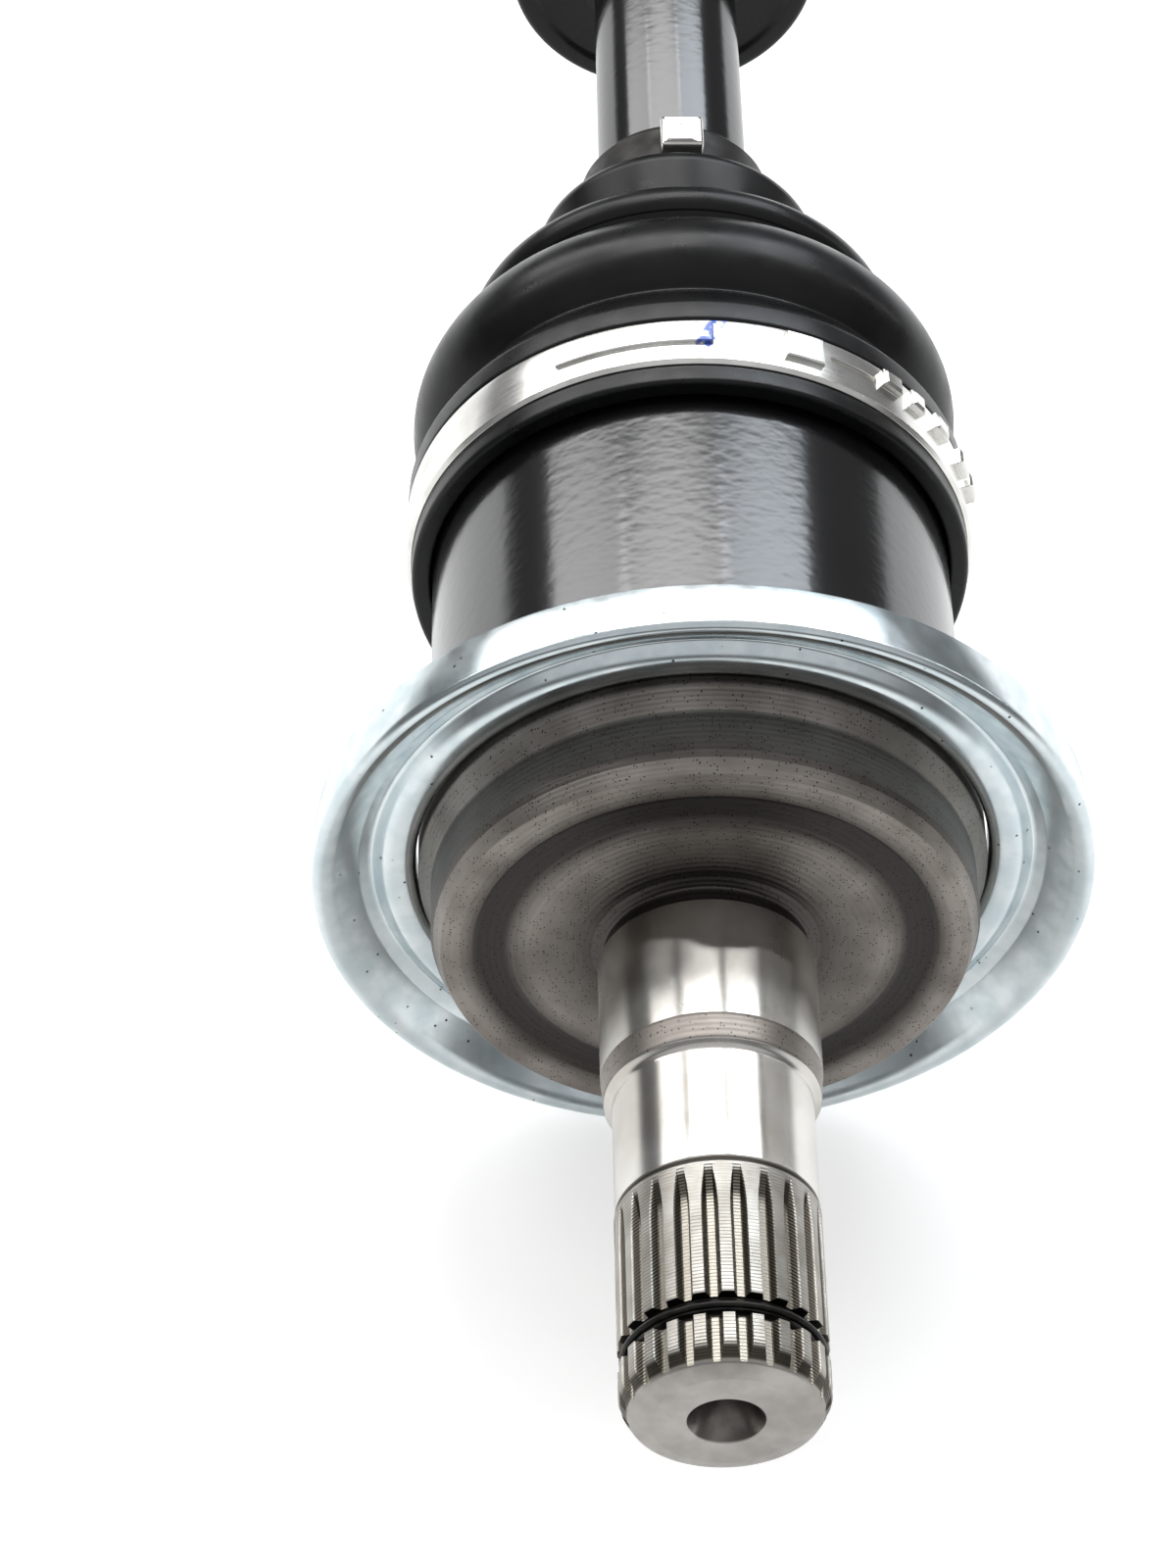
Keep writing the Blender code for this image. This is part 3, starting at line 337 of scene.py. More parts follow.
# %% [markdown]
# ## Ground steel
# The bearing journals are ground: a fine wheel leaves scratches too small to see that run round the
# shaft. They spread each reflection along the shaft more than across it, which is why the lamp shows
# as lengthwise bars. The shader's anisotropy, turned a quarter, gives that.

# %% Ground and cut steel
def ground_steel():
    finish, tree, shader = new_finish("ground_steel", Metallic=1.0, Anisotropic=0.7,
                                      Anisotropic_Rotation=0.25)
    place, radius, along = lathe_places(tree)
    scratches = bump(tree, lathe_marks(tree, radius, along, 0.35), 0.25, 0.004)
    round_axle = add(tree, "Tangent", direction_type="RADIAL", axis="Y")
    link(tree, shader, Base_Color=mottled(tree, place, 14, "CFCDC8", "B6B2AB"),
         Roughness=patchy(tree, place, 6, 5.0, 0.2, 0.28),
         Normal=bump(tree, noise(tree, place, 0.3, 2.0), 1.0, 0.004, scratches),
         Tangent=round_axle.outputs["Tangent"])
    return finish


def hobbed_steel(name, land):
    """Spline teeth: the lands keep the turning, the flanks are painted dark as shade and the floors are
    cut bright.
    """
    finish, tree, shader = new_finish(name, Metallic=1.0)
    place, radius, along = lathe_places(tree)
    base = mottled(tree, place, 5, "A9A6A0", "8E8A83")
    # The dark colour on the groove flanks is painted shade.
    for deep, shallow, code in ((0.08, 0.3, "433F39"), (0.9, 1.1, "9B968C")):
        share = spread(tree, radius, land - deep * MM, land - shallow * MM)
        base = over(tree, share, base, colour(code))
    link(tree, shader, Base_Color=base,
         Roughness=spread(tree, lathe_marks(tree, radius, along, 0.45), 0, 1, 0.3, 0.5),
         Normal=bump(tree, tool_rings(tree, radius, along, 0.5), 0.8, 0.02))
    return finish


# %% [markdown]
# ## Turned steel
# The cup's front is forged and then turned, and stays matt and grey-brown with small black pits. The
# tool's rings are coarse enough to see. A shallow recess round the face is darker than the rest. The
# waist behind the face and the root of the stub are darkened too: that darkening is painted shade.

# %% Turned steel, with places in millimetres
RECESS_RADIUS, RECESS_HALF, RECESS_FLOOR_HALF = 28.4, 4.9, 1.7
# The ROOT and WAIST places say where painted shade goes; the RECESS places are a real groove in the
# face.
ROOT_EDGE, ROOT_FILLET, ROOT_START = 25, 15.5, 60
WAIST = (75.4, 82.6)


def turned_steel():
    finish, tree, shader = new_finish("turned_steel", Metallic=1.0)
    place, radius, along = lathe_places(tree)
    away = reckon(tree, "ABSOLUTE", reckon(tree, "SUBTRACT", radius, RECESS_RADIUS * MM))
    band = spread(tree, away, RECESS_HALF * MM, RECESS_FLOOR_HALF * MM)
    behind = reckon(tree, "GREATER_THAN", along, STUB_END + ROOT_START * MM)
    # Painted shade: faces near the axle, from ROOT_START on, darken towards the root of the stub.
    root_shade = spread(tree, radius, ROOT_EDGE * MM, ROOT_FILLET * MM, 0, 0.85)
    root_shade = reckon(tree, "MULTIPLY", root_shade, behind)
    # Painted shade: the waist in front of the shield is darkened all the way round.
    past = reckon(tree, "GREATER_THAN", along, STUB_END + WAIST[0] * MM)
    short = reckon(tree, "LESS_THAN", along, STUB_END + WAIST[1] * MM)
    waist_shade = reckon(tree, "MULTIPLY", reckon(tree, "MULTIPLY", past, short), 0.6)
    base = mottled(tree, place, 9, "928C86", "77716B")
    for share in (band, root_shade, waist_shade):
        base = over(tree, share, base, colour("3B3836"))
    marks = lathe_marks(tree, radius, along, 0.6)
    marked = bump(tree, marks, 0.5, 0.03)
    link(tree, shader, Base_Color=over(tree, specks(tree, place, 0.2, 0.4), base, colour("17130F")),
         Roughness=spread(tree, marks, 0, 1, 0.36, 0.52),
         Normal=bump(tree, tool_rings(tree, radius, along, 0.9), 0.5, 0.02, marked))
    return finish


# %% [markdown]
# ## Gloss black paint
# The cup and the bar wear sprayed enamel. Enamel levels out as it dries, but not wholly: it keeps low
# waves a millimetre or two across, called orange peel, that ripple each reflection. They are longer
# round the cup than along it, because the cup turns on a spindle while it is sprayed.

# %% Gloss black paint
def black_enamel():
    finish, tree, shader = new_finish("black_enamel", Roughness=0.15, IOR=1.62)
    place, _, _ = lathe_places(tree)
    sagged = add(tree, "Mapping", {"Vector": place, "Scale": (0.7, 1.0, 0.7)}).outputs["Vector"]
    peel = bump(tree, noise(tree, sagged, 1.5, 1.0), 1.0, 0.024)
    link(tree, shader, Base_Color=mottled(tree, place, 25, "09090A", "0E0E0F"),
         Normal=bump(tree, noise(tree, place, 0.5, 1.0), 0.5, 0.004, peel))
    return finish


# %% [markdown]
# ## Zinc plate
# The dust shield is pressed from sheet and plated with zinc under a clear blue passivation. That
# gives a soft, bluish metal with a few dark specks and scuffs, brighter where it has been rubbed.

# %% Zinc plate
def zinc_plate():
    finish, tree, shader = new_finish("zinc_plate", Metallic=1.0)
    place, radius, along = lathe_places(tree)
    base = mottled(tree, place, 5, "D2D9DB", "C0CBCE")
    link(tree, shader, Base_Color=over(tree, specks(tree, place, 0.35, 0.025), base, colour("2A2E30")),
         Roughness=patchy(tree, place, 2.5, 6.0, 0.17, 0.26),
         Normal=bump(tree, lathe_marks(tree, radius, along, 0.8), 0.35, 0.01))
    return finish


# %% [markdown]
# ## Moulded rubber
# The boots are moulded from a black elastomer with a satin skin. Its folds show as soft pale arcs,
# and it holds a fine grain and a little dust.

# %% Moulded rubber
def boot_rubber():
    finish, tree, shader = new_finish("boot_rubber", IOR=1.31)
    place, _, _ = lathe_places(tree)
    link(tree, shader, Base_Color=mottled(tree, place, 7, "0B0B0C", "111112"),
         Roughness=patchy(tree, place, 4, 6.0, 0.25, 0.36),
         Normal=bump(tree, noise(tree, place, 0.5, 2.0), 0.3, 0.02))
    return finish


# %% [markdown]
# ## Stainless band and black wire
# A boot clamp is a bright rolled strip, and its rolling lines run along the strip, round the axle.
# A stroke of blue marker crosses the large clamp. The circlips are blackened spring steel.

# %% Stainless band, marker and wire
MARK_FRONT, MARK_BACK = STUB_END + 144.2 * MM, STUB_END + 151.5 * MM
MARK_X = (-0.4 * MM, 2.9 * MM)
MARK_HALF = 1.3 * MM


def marker_ink(tree, place):
    """1 on a slanting stroke of marker over the top of a piece, broken up where it missed the metal."""
    parts = add(tree, "SeparateXYZ", {"Vector": place})
    lean = spread(tree, parts.outputs["Y"], MARK_FRONT, MARK_BACK, *MARK_X)
    away = reckon(tree, "ABSOLUTE", reckon(tree, "SUBTRACT", parts.outputs["X"], lean))
    ink = spread(tree, away, MARK_HALF, MARK_HALF * 0.7)
    for share in (spread(tree, noise(tree, place, 1.6, 3.0), 0.40, 0.50),
                  spread(tree, parts.outputs["Y"], MARK_FRONT, MARK_FRONT + MM),
                  reckon(tree, "GREATER_THAN", parts.outputs["Z"], 0.0)):
        ink = reckon(tree, "MULTIPLY", ink, share)
    return ink


def stainless_band(name, marked=False):
    finish, tree, shader = new_finish(name, Metallic=1.0)
    place, radius, along = lathe_places(tree)
    base = mottled(tree, place, 6, "DDDCD8", "C4C2BD")
    if marked:
        ink = marker_ink(tree, place)
        base = over(tree, ink, base, colour("4462BE"))
        link(tree, shader, Metallic=reckon(tree, "SUBTRACT", 1.0, ink))
    marks = lathe_marks(tree, radius, along, 0.3)
    link(tree, shader, Base_Color=base, Roughness=spread(tree, marks, 0, 1, 0.14, 0.30),
         Normal=bump(tree, marks, 0.3, 0.006))
    return finish


def black_wire():
    finish, tree, shader = new_finish("black_oxide_wire", Metallic=0.7)
    place, _, _ = lathe_places(tree)
    link(tree, shader, Base_Color=mottled(tree, place, 1.5, "0E0E0F", "26241F"),
         Roughness=spread(tree, noise(tree, place, 0.8, 3.0), 0, 1, 0.28, 0.5))
    return finish


# %% [markdown]
# ## Steel inside the joints
# Nobody sees the races, cages and balls while the boots are on, but they are there. The races and
# cages are case-hardened and dark with grease, and the balls are lapped bright. Iron, thread and
# faced ends differ only in colour, shine and grain.

# %% Plain steels
def plain_steel(name, light, dark, smoothest, roughest, grain):
    """Steel with a grain of that many millimetres."""
    finish, tree, shader = new_finish(name, Metallic=1.0)
    place, _, _ = lathe_places(tree)
    link(tree, shader, Base_Color=mottled(tree, place, grain * 4, light, dark),
         Roughness=patchy(tree, place, grain, 4.0, smoothest, roughest),
         Normal=bump(tree, noise(tree, place, grain, 4.0), 0.2, 0.01))
    return finish


# %% Make every finish once
finishes = {
    "ground": ground_steel(),
    "hobbed": hobbed_steel("hobbed_steel", 13.1 * MM),
    "hub_spline": hobbed_steel("hobbed_hub_spline", 13.6 * MM),
    "faced": plain_steel("faced_steel", "A8A5A0", "95918C", 0.34, 0.46, 2.0),
    # A narrow clamp's strap is stainless like its ear; this dark steel on it is painted shade.
    "strap": plain_steel("painted_shade_strap", "3B3A39", "2A2928", 0.36, 0.5, 1.5),
    "turned": turned_steel(),
    "enamel": black_enamel(),
    "zinc": zinc_plate(),
    "rubber": boot_rubber(),
    "band": stainless_band("stainless_band"),
    "marked_band": stainless_band("marked_stainless_band", marked=True),
    "wire": black_wire(),
    "hardened": plain_steel("hardened_steel", "7A7671", "4F4B47", 0.25, 0.45, 2.0),
    "lapped": plain_steel("lapped_ball_steel", "D8D8D8", "C8C8CA", 0.06, 0.12, 1.5),
    "iron": plain_steel("phosphated_iron", "4A4845", "33312F", 0.5, 0.7, 1.0),
    "threaded": plain_steel("threaded_steel", "A8A39B", "8C877F", 0.25, 0.4, 1.0),
}
print("finishes:", ", ".join(finishes))


# %% Give a finish to a piece, or to the faces between two places along the axle
def wear(piece, *names):
    for name in names:
        piece.data.materials.append(finishes[name])


def wear_between(piece, name, low, high, reach=1.0):
    """Faces whose middle lies from low to high along the axle, within reach of it, get that finish."""
    slot = piece.data.materials.find(finishes[name].name)
    for face in piece.data.polygons:
        middle = face.center
        if low <= middle.y < high and math.hypot(middle.x, middle.z) <= reach:
            face.material_index = slot


# %% [markdown]
# ## Cutting with a copied cutter
# Spline grooves, ball tracks and threads repeat round the axle. One cutter is modelled, copied and
# turned about the axle, and all copies are joined and taken away at once with a Boolean modifier.

# %% Copy round the axle, and cut
def copied_round(piece, count):
    """Join count copies of a piece, spread evenly round the axle."""
    copies = [piece]
    for _ in range(count - 1):
        take(copies[-1])
        bpy.ops.object.duplicate()
        bpy.ops.transform.rotate(value=TURN / count, orient_axis="Y", center_override=(0, 0, 0))
        copies.append(bpy.context.object)
    join(piece, copies)
    return piece


def apply_modifier(piece, kind, **settings):
    take(piece)
    bpy.ops.object.modifier_add(type=kind)
    modifier = piece.modifiers[-1]
    for name, value in settings.items():
        setattr(modifier, name, value)
    bpy.ops.object.modifier_apply(modifier=modifier.name)


def cut_away(piece, cutter):
    apply_modifier(piece, "BOOLEAN", operation="DIFFERENCE", solver="EXACT", object=cutter)
    bpy.data.objects.remove(cutter)


# %% A spline groove with the run-out of its hob
def select_vertices(piece, chosen):
    """In edit mode, select only the vertices that the function chosen picks."""
    bpy.ops.mesh.select_all(action="DESELECT")
    leave_edit()
    for vertex in piece.data.vertices:
        vertex.select = chosen(vertex.co)
    bpy.ops.object.mode_set(mode="EDIT")


HOB_RADIUS = 20 * MM
GROOVE_DEPTH = 1.2 * MM
GROOVE_FLOOR, GROOVE_TOP = 0.24, 0.98       # widths as shares of the pitch


def spline_grooves(radius, teeth, open_end, full_end, turn=0.0):
    """Grooves that start in the air before the open end, narrow at the floor, and past the full end
    are lifted out along the hob's circle."""
    pitch = TURN * radius / teeth
    direction = 1 if full_end > open_end else -1
    before = direction * 2 * MM
    deselect()
    bpy.ops.mesh.primitive_plane_add(size=1, rotation=(math.pi / 2, 0, 0),
                                     location=(0, open_end - before, radius))
    cutter = bpy.context.object
    cutter.scale = (GROOVE_FLOOR * pitch, 2 * GROOVE_DEPTH, 1)
    fix_place()
    start_edit()
    select_vertices(cutter, lambda place: place.z > radius)
    bpy.ops.transform.resize(value=(GROOVE_TOP * pitch / (GROOVE_FLOOR * pitch), 1, 1))
    bpy.ops.mesh.select_mode(type="FACE")
    bpy.ops.mesh.select_all(action="SELECT")
    length = full_end - open_end + before
    bpy.ops.mesh.extrude_region_move(TRANSFORM_OT_translate={"value": (0, length, 0)})
    runout = math.sqrt(HOB_RADIUS ** 2 - (HOB_RADIUS - GROOVE_DEPTH) ** 2)
    steps = 8
    for step in range(steps):
        near, far = runout * step / steps, runout * (step + 1) / steps
        lift = math.sqrt(HOB_RADIUS ** 2 - near ** 2) - math.sqrt(HOB_RADIUS ** 2 - far ** 2)
        move = (0, direction * (far - near), lift)
        bpy.ops.mesh.extrude_region_move(TRANSFORM_OT_translate={"value": move})
    bpy.ops.mesh.select_all(action="SELECT")
    bpy.ops.mesh.normals_make_consistent(inside=False)
    bpy.ops.transform.rotate(value=turn, orient_axis="Y", center_override=(0, 0, 0))
    leave_edit()
    return copied_round(cutter, teeth)


# %% [markdown]
# ## Cup and stub, one forging
# The inboard cup and its splined stub are one piece of steel. It is drawn as half a section from the
# centre hole in the stub's end, over the journals and the cup's face, to the mouth, and back along the
# bore. Small roundings at each corner catch the light as real machined edges do.

# %% Outline of the cup and stub, in millimetres from the stub's end
cup_corners = [
    (0.0, 11.5, 0), (1.9, 10.6, 0.3), (1.9, 5.2, 0.2), (4.9, 0.0, 0.3), (9.3, 0.0, 0.4),
    (11.9, 0.85, 0.8), (13.1, 3.0, 2.5), (13.1, 7.2, 0.1), (11.6, 7.2, 0.3), (11.6, 10.2, 0.3),
    (13.1, 10.2, 0.1), (13.1, 29.4, 0.3), (12.75, 30.0, 0.3), (12.95, 30.5, 0.3), (13.0, 47.3, 1.0),
    (14.1, 47.9, 0.5), (14.3, 51.2, 0.2), (14.41, 51.6, 0.2), (14.41, 70.0, 0.3), (13.6, 70.6, 0.3),
    (13.6, 72.5, 0.5), (15.3, 73.2, 0.4), (25.6, 73.2, 0.8), (26.6, 73.9, 2.0), (30.2, 73.9, 2.0),
    (31.0, 73.2, 0.5), (35.2, 73.2, 0.5), (36.5, 76.3, 0.5), (36.5, 83.0, 0.6), (38.2, 86.0, 0.5),
    (38.2, 92.2, 0.3), (36.7, 92.9, 0.4), (36.7, 156.7, 0.3), (35.9, 157.5, 0.3), (31.0, 157.5, 0.3),
    (28.0, 156.1, 0.3), (28.0, 154.8, 0), (29.9, 154.8, 0.3), (29.9, 152.2, 0.3), (28.0, 152.2, 0),
    (28.0, 96.5, 1.0), (26.5, 95.0, 0.5), (0.0, 95.0, 0),
]

# %% Turn it, then cut the splines and the ball tracks
SPLINE_RADIUS, SPLINE_TEETH = 13.1 * MM, 23
inboard_cup = turned("inboard_cup_and_stub", rounded(cup_corners, STUB_END), steps=180)
half_tooth = TURN / SPLINE_TEETH / 2
cut_away(inboard_cup, spline_grooves(SPLINE_RADIUS, SPLINE_TEETH, STUB_END, STUB_END + 22.2 * MM,
                                     half_tooth))


def straight_tracks(ball_circle, radius, start, end):
    """Six round tracks along the axle, one for each ball."""
    deselect()
    bpy.ops.mesh.primitive_cylinder_add(vertices=48, radius=radius, depth=end - start,
                                        rotation=(math.pi / 2, 0, 0),
                                        location=(ball_circle, (start + end) / 2, 0))
    fix_place()
    start_edit()
    bpy.ops.mesh.bevel(offset=0.4 * MM, segments=1)
    leave_edit()
    return copied_round(bpy.context.object, 6)


cut_away(inboard_cup, straight_tracks(ball_circle=24.5 * MM, radius=8.7 * MM,
                                      start=STUB_END + 96 * MM, end=CUP_MOUTH + 8 * MM))
finish_piece(inboard_cup, "inboard_cup_and_stub", sharp=32)

# %% Dress it region by region, from the stub's end to the mouth
wear(inboard_cup, "hobbed", "ground", "turned", "enamel", "hardened", "faced", "wire")
for name, start, end in (("ground", 30.3, 47.9), ("turned", 47.9, 51.6), ("ground", 51.6, 70.2),
                         ("turned", 70.2, 92.6), ("enamel", 92.6, 160), ("faced", -1, 1.2)):
    wear_between(inboard_cup, name, STUB_END + start * MM, STUB_END + end * MM)
wear_between(inboard_cup, "hardened", STUB_END + 94 * MM, CUP_MOUTH, reach=35.5 * MM)
# The centre hole wears the dark hardened steel as painted shade in the hole.
wear_between(inboard_cup, "hardened", STUB_END + 0.1 * MM, STUB_END + 9 * MM, reach=4.8 * MM)
# The clip's groove wears the black wire finish: painted shade in the groove, which also holds dark
# grease.
wear_between(inboard_cup, "wire", STUB_END + 7.1 * MM, STUB_END + 10.3 * MM, reach=12.6 * MM)
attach(inboard_cup, "inboard_cup")
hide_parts("inboard_cup")

# %% [markdown]
# ## Wire rings
# A wire ring in the splines locks the stub in its gear. It is round wire bent to an open ring, so a
# small circle is spun most of the way round the axle and its two ends are filled.

# %% Bend the stub clip
CLIP_OPENING, OPENING_MIDDLE = math.radians(32), math.radians(-90)     # measured round the axle
clip_low, clip_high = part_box("stub_clip")
clip_wire = (clip_high.y - clip_low.y) / 2
deselect()
bpy.ops.mesh.primitive_circle_add(vertices=16, radius=clip_wire,
                                  location=(clip_high.x - clip_wire, (clip_low.y + clip_high.y) / 2, 0))
stub_clip = bpy.context.object
fix_place()
start_edit()
bpy.ops.transform.rotate(value=OPENING_MIDDLE + CLIP_OPENING / 2, orient_axis="Y",
                         center_override=(0, 0, 0))
spin_closed(96, TURN - CLIP_OPENING)
finish_piece(stub_clip, "stub_wire_clip")
wear(stub_clip, "wire")
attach(stub_clip, "inboard_cup")
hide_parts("stub_clip")

# %% [markdown]
# ## Dust shield
# The shield is one disc of sheet steel, pressed into a collar, a flat flange, a rounded channel and a
# wide bell with a straight rim. The line through the middle of the sheet is spun, and Solidify then
# gives it the sheet's thickness.

# %% Press the dust shield
SHEET = 1.3
shield_corners = [
    (39.15, 91.2, 0), (39.15, 87.0, 1.6), (42.4, 86.9, 1.6), (44.4, 88.9, 1.4), (46.6, 87.6, 2.0),
    (50.3, 84.0, 3.5), (51.75, 83.3, 0.9), (51.75, 89.9, 0),
]
dust_shield = draw_line(rounded(shield_corners, STUB_END), closed=False)
spin_closed(180)
apply_modifier(dust_shield, "SOLIDIFY", thickness=SHEET * MM, offset=0.0)
apply_modifier(dust_shield, "BEVEL", width=0.35 * MM, segments=3, limit_method="ANGLE",
               angle_limit=math.radians(50))
finish_piece(dust_shield, "pressed_dust_shield")
wear(dust_shield, "zinc")
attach(dust_shield, "inboard_cup")
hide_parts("dust_shield")

# %% [markdown]
# ## Boots in rings
# A boot bends across several hinges at once, and the frame can blend a piece across one hinge only.
# So each boot is turned as closed rings that meet face to face, most of them on the flanks of its
# folds, where the rubber runs straight and a join can't be seen. The first ring stays with the housing
# and the last with the bar. Each ring between is fixed in place at rest and rides on no body. These
# rings lie near the housing, where the folds are wide.

# %% Rings of a boot
def stretch(line, start, end):
    """The part of a line between two places along the axle, with its ends worked out."""
    low, high = min(start, end), max(start, end)
    part = []
    for (near_r, near_y), (far_r, far_y) in zip(line, line[1:]):
        if not part and low <= near_y <= high:
            part.append((near_r, near_y))
        for edge in (start, end):
            if (near_y - edge) * (far_y - edge) < 0:
                share = (edge - near_y) / (far_y - near_y)
                part.append((near_r + (far_r - near_r) * share, edge))
        if low <= far_y <= high:
            part.append((far_r, far_y))
    return part


def boot_rings(name, outer, inner, cuts, chain):
    """Closed rings of a boot between cuts. The end rings ride on the ends of the chain of bodies, and
    each ring between is only fixed in place at rest, on no body."""
    bodies = [chain[:1], *zip(chain, chain[1:]), chain[-1:]]
    for number, (start, end, ridden) in enumerate(zip(cuts, cuts[1:], bodies), start=1):
        outline = stretch(outer, start, end) + stretch(inner, start, end)[::-1]
        ring = turned(f"{name}_ring_{number}", outline, steps=128, closed=True, sharp=50)
        wear(ring, "rubber")
        if len(ridden) == 1:
            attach(ring, ridden[0])
        else:
            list(ridden)
            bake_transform(ring)
        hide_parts(name)


# %% Inboard boot, in millimetres from the stub's end
BOOT_WALL = 2.4
inboard_seat = [
    (38.0, 140.0, 0), (39.7, 140.0, 1.3), (39.7, 143.4, 0.5), (38.85, 143.4, 0.2), (38.85, 151.7, 0.2),
    (40.3, 151.7, 0.7), (40.3, 155.3, 0.9),
]


def ridge(radius, place, curve, start, end):
    """The round crown of a fold: an arc with its top there, from start to end degrees off the top."""
    angles = [start + (end - start) * step / 24 for step in range(25)]
    return arc(radius - curve, place, curve, curve, angles)


inboard_folds = (
    [(36.0, 162.3, 1.0)] + ridge(39.7, 169.7, 9.5, -44, 69)
    + [(27.8, 180.7, 1.2)] + ridge(32.2, 187.0, 3.4, -41, 59)
    + [(19.0, 196.7, 1.8)] + ridge(21.5, 207.2, 2.6, -14, 68)
    + [(15.0, 211.5, 0.9)]
)
inboard_neck = [(13.45, 214.4, 0.8), (13.45, 224.0, 0.5), (12.4, 224.0, 0)]
inboard_inside = (
    [(38.0, 140.0, 0), (37.0, 140.0, 0.7), (37.0, 157.8, 0.2), (33.4, 157.9, 0.5)]
    + [(radius - BOOT_WALL, place, rounding) for radius, place, rounding in inboard_folds]
    + [(11.75, 214.7, 0.5), (11.75, 224.0, 0), (12.4, 224.0, 0)]
)
inboard_cuts = [STUB_END + place * MM
                for place in (139.9, 158.9, 179.6, 184.4, 188.6, 193.0, 201.5, 224.1)]
boot_rings(
    "inboard_boot", rounded(inboard_seat + inboard_folds + inboard_neck, STUB_END),
    rounded(inboard_inside, STUB_END), inboard_cuts,
    ("inboard_cup", "inboard_boot", "inboard_cup_ball", "inboard_cage", "inboard_bar_ball", "bar"))

# %% [markdown]
# ## Band clamps
# The wide clamp is stainless strip wound past itself, with a bead pressed in it, a tongue in a slot
# and hooks that a tool pulls together. The band is a ring with one row of faces for each degree.
# Faces are picked by their place and pulled out of the band or pressed into it.

# %% Pick faces on a band by angle and place
def on_band(start, end, low, high):
    """A test for outer faces from start to end degrees, counted from the top towards +X."""
    def chosen(face):
        middle = face.center
        angle = math.degrees(math.atan2(middle.x, middle.z))
        outward = face.normal.x * middle.x + face.normal.z * middle.z
        return (start < angle < end and low < middle.y < high
                and outward > 0.5 * math.hypot(middle.x, middle.z))
    return chosen


def pull(piece, chosen, height, inset=0.0, edge=0.0):
    """Pull the chosen faces out by height, or press them in where it is negative."""
    take(piece)
    for face in piece.data.polygons:
        face.select = chosen(face)
    for line in piece.data.edges:
        line.select = False
    bpy.ops.object.mode_set(mode="EDIT")
    bpy.ops.mesh.select_mode(type="FACE")
    if inset:
        bpy.ops.mesh.inset(thickness=inset, depth=0)
    bpy.ops.mesh.extrude_region_shrink_fatten(TRANSFORM_OT_shrink_fatten={"value": height})
    if edge:
        bpy.ops.mesh.inset(thickness=edge, depth=edge * math.copysign(0.7, height))
    leave_edit()


def plain_band(name, inner, thickness, places, steps, edge=0.12 * MM):
    """A flat ring of strip with extra rows of faces at the places along it."""
    low, high = places[0], places[-1]
    outline = [(inner, low), (inner + thickness - edge, low), (inner + thickness, low + edge)]
    outline += [(inner + thickness, place) for place in places[1:-1]]
    outline += [(inner + thickness, high - edge), (inner + thickness - edge, high), (inner, high)]
    return turned(name, outline, steps=steps, closed=True)


# %% Wide clamps
def wide_clamp(name, node, body, inner, start, direction, finish):
    """A clamp 7.2 mm wide from start along direction, with its bead, slot, tongue and hooks."""
    def at(distance):
        return start + direction * distance * MM

    def span(first, last):
        return min(at(first), at(last)), max(at(first), at(last))

    places = sorted(at(distance) for distance in (0, 1.8, 2.6, 3.7, 4.8, 6.6, 7.2))
    band = plain_band(name, inner, 0.8 * MM, places, steps=360)
    pull(band, on_band(-75, 15.6, *span(0.1, 7.1)), 0.75 * MM)
    pull(band, on_band(-29, 3, *span(2.6, 6.6)), 0.45 * MM, inset=0.15 * MM, edge=0.2 * MM)
    pull(band, on_band(27, 38, *span(3.7, 4.8)), -0.55 * MM)
    pull(band, on_band(16.5, 24.5, *span(1.8, 6.6)), 0.7 * MM, edge=0.25 * MM)
    for middle in (41.6, 48.8, 57.6, 68.3, 75.5):
        pull(band, on_band(middle - 2.2, middle + 2.2, *span(3.7, 6.6)), 0.9 * MM, edge=0.5 * MM)
    apply_modifier(band, "BEVEL", width=0.12 * MM, segments=2, limit_method="ANGLE",
                   angle_limit=math.radians(40))
    finish_piece(band, name, sharp=20)
    wear(band, finish)
    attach(band, body)
    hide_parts(node)


wide_clamp("inboard_wide_clamp", "inboard_boot_large_clamp", "inboard_cup", inner=38.9 * MM,
           start=STUB_END + 143.9 * MM, direction=1, finish="marked_band")
wide_clamp("outboard_wide_clamp", "outboard_boot_large_clamp", "outboard_bell", inner=42.7 * MM,
           start=OUTBOARD_CENTRE - 8.3 * MM, direction=-1, finish="band")

# %% Narrow clamps with a crimped ear
def narrow_clamp(name, node, inner):
    """A narrow band whose ear was pinched shut on top."""
    ear_left, ear_right = -2.6 * MM, 3.9 * MM
    low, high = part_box(node)[0].y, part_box(node)[1].y
    middle, width = (low + high) / 2, high - low
    band = plain_band(name, inner, 0.8 * MM, [low, middle, high], steps=144)
    deselect()
    bpy.ops.mesh.primitive_cube_add(
        size=1, location=((ear_left + ear_right) / 2, middle, inner + 1.9 * MM))
    ear = bpy.context.object
    ear.scale = (ear_right - ear_left, width - 0.3 * MM, 2.8 * MM)
    fix_place()
    start_edit("FACE")
    bpy.ops.mesh.bevel(offset=0.7 * MM, segments=4, profile=0.6)
    leave_edit()
    for face in ear.data.polygons:
        face.select = face.normal.z > 0.99
    bpy.ops.object.mode_set(mode="EDIT")
    bpy.ops.mesh.inset(thickness=1.1 * MM, depth=-0.35 * MM)
    leave_edit()
    join(band, [ear])
    finish_piece(band, name, sharp=40)
    # The clamp is one stainless band: the strap wears dark steel as painted shade, and only the raised
    # ear keeps the bright band.
    wear(band, "strap", "band")
    for face in band.data.polygons:
        face.material_index = int(face.center.z > inner + 1.0 * MM)
    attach(band, "bar")
    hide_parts(node)


narrow_clamp("inboard_narrow_clamp", "inboard_boot_small_clamp", inner=13.75 * MM)
narrow_clamp("outboard_narrow_clamp", "outboard_boot_small_clamp", inner=13.75 * MM)

# %% [markdown]
# ## Bar and damper
# The bar is turned from one length of steel, painted gloss black between the boots. The damper is a
# rubber cover round an iron sleeve, held on the bar by one clamp.

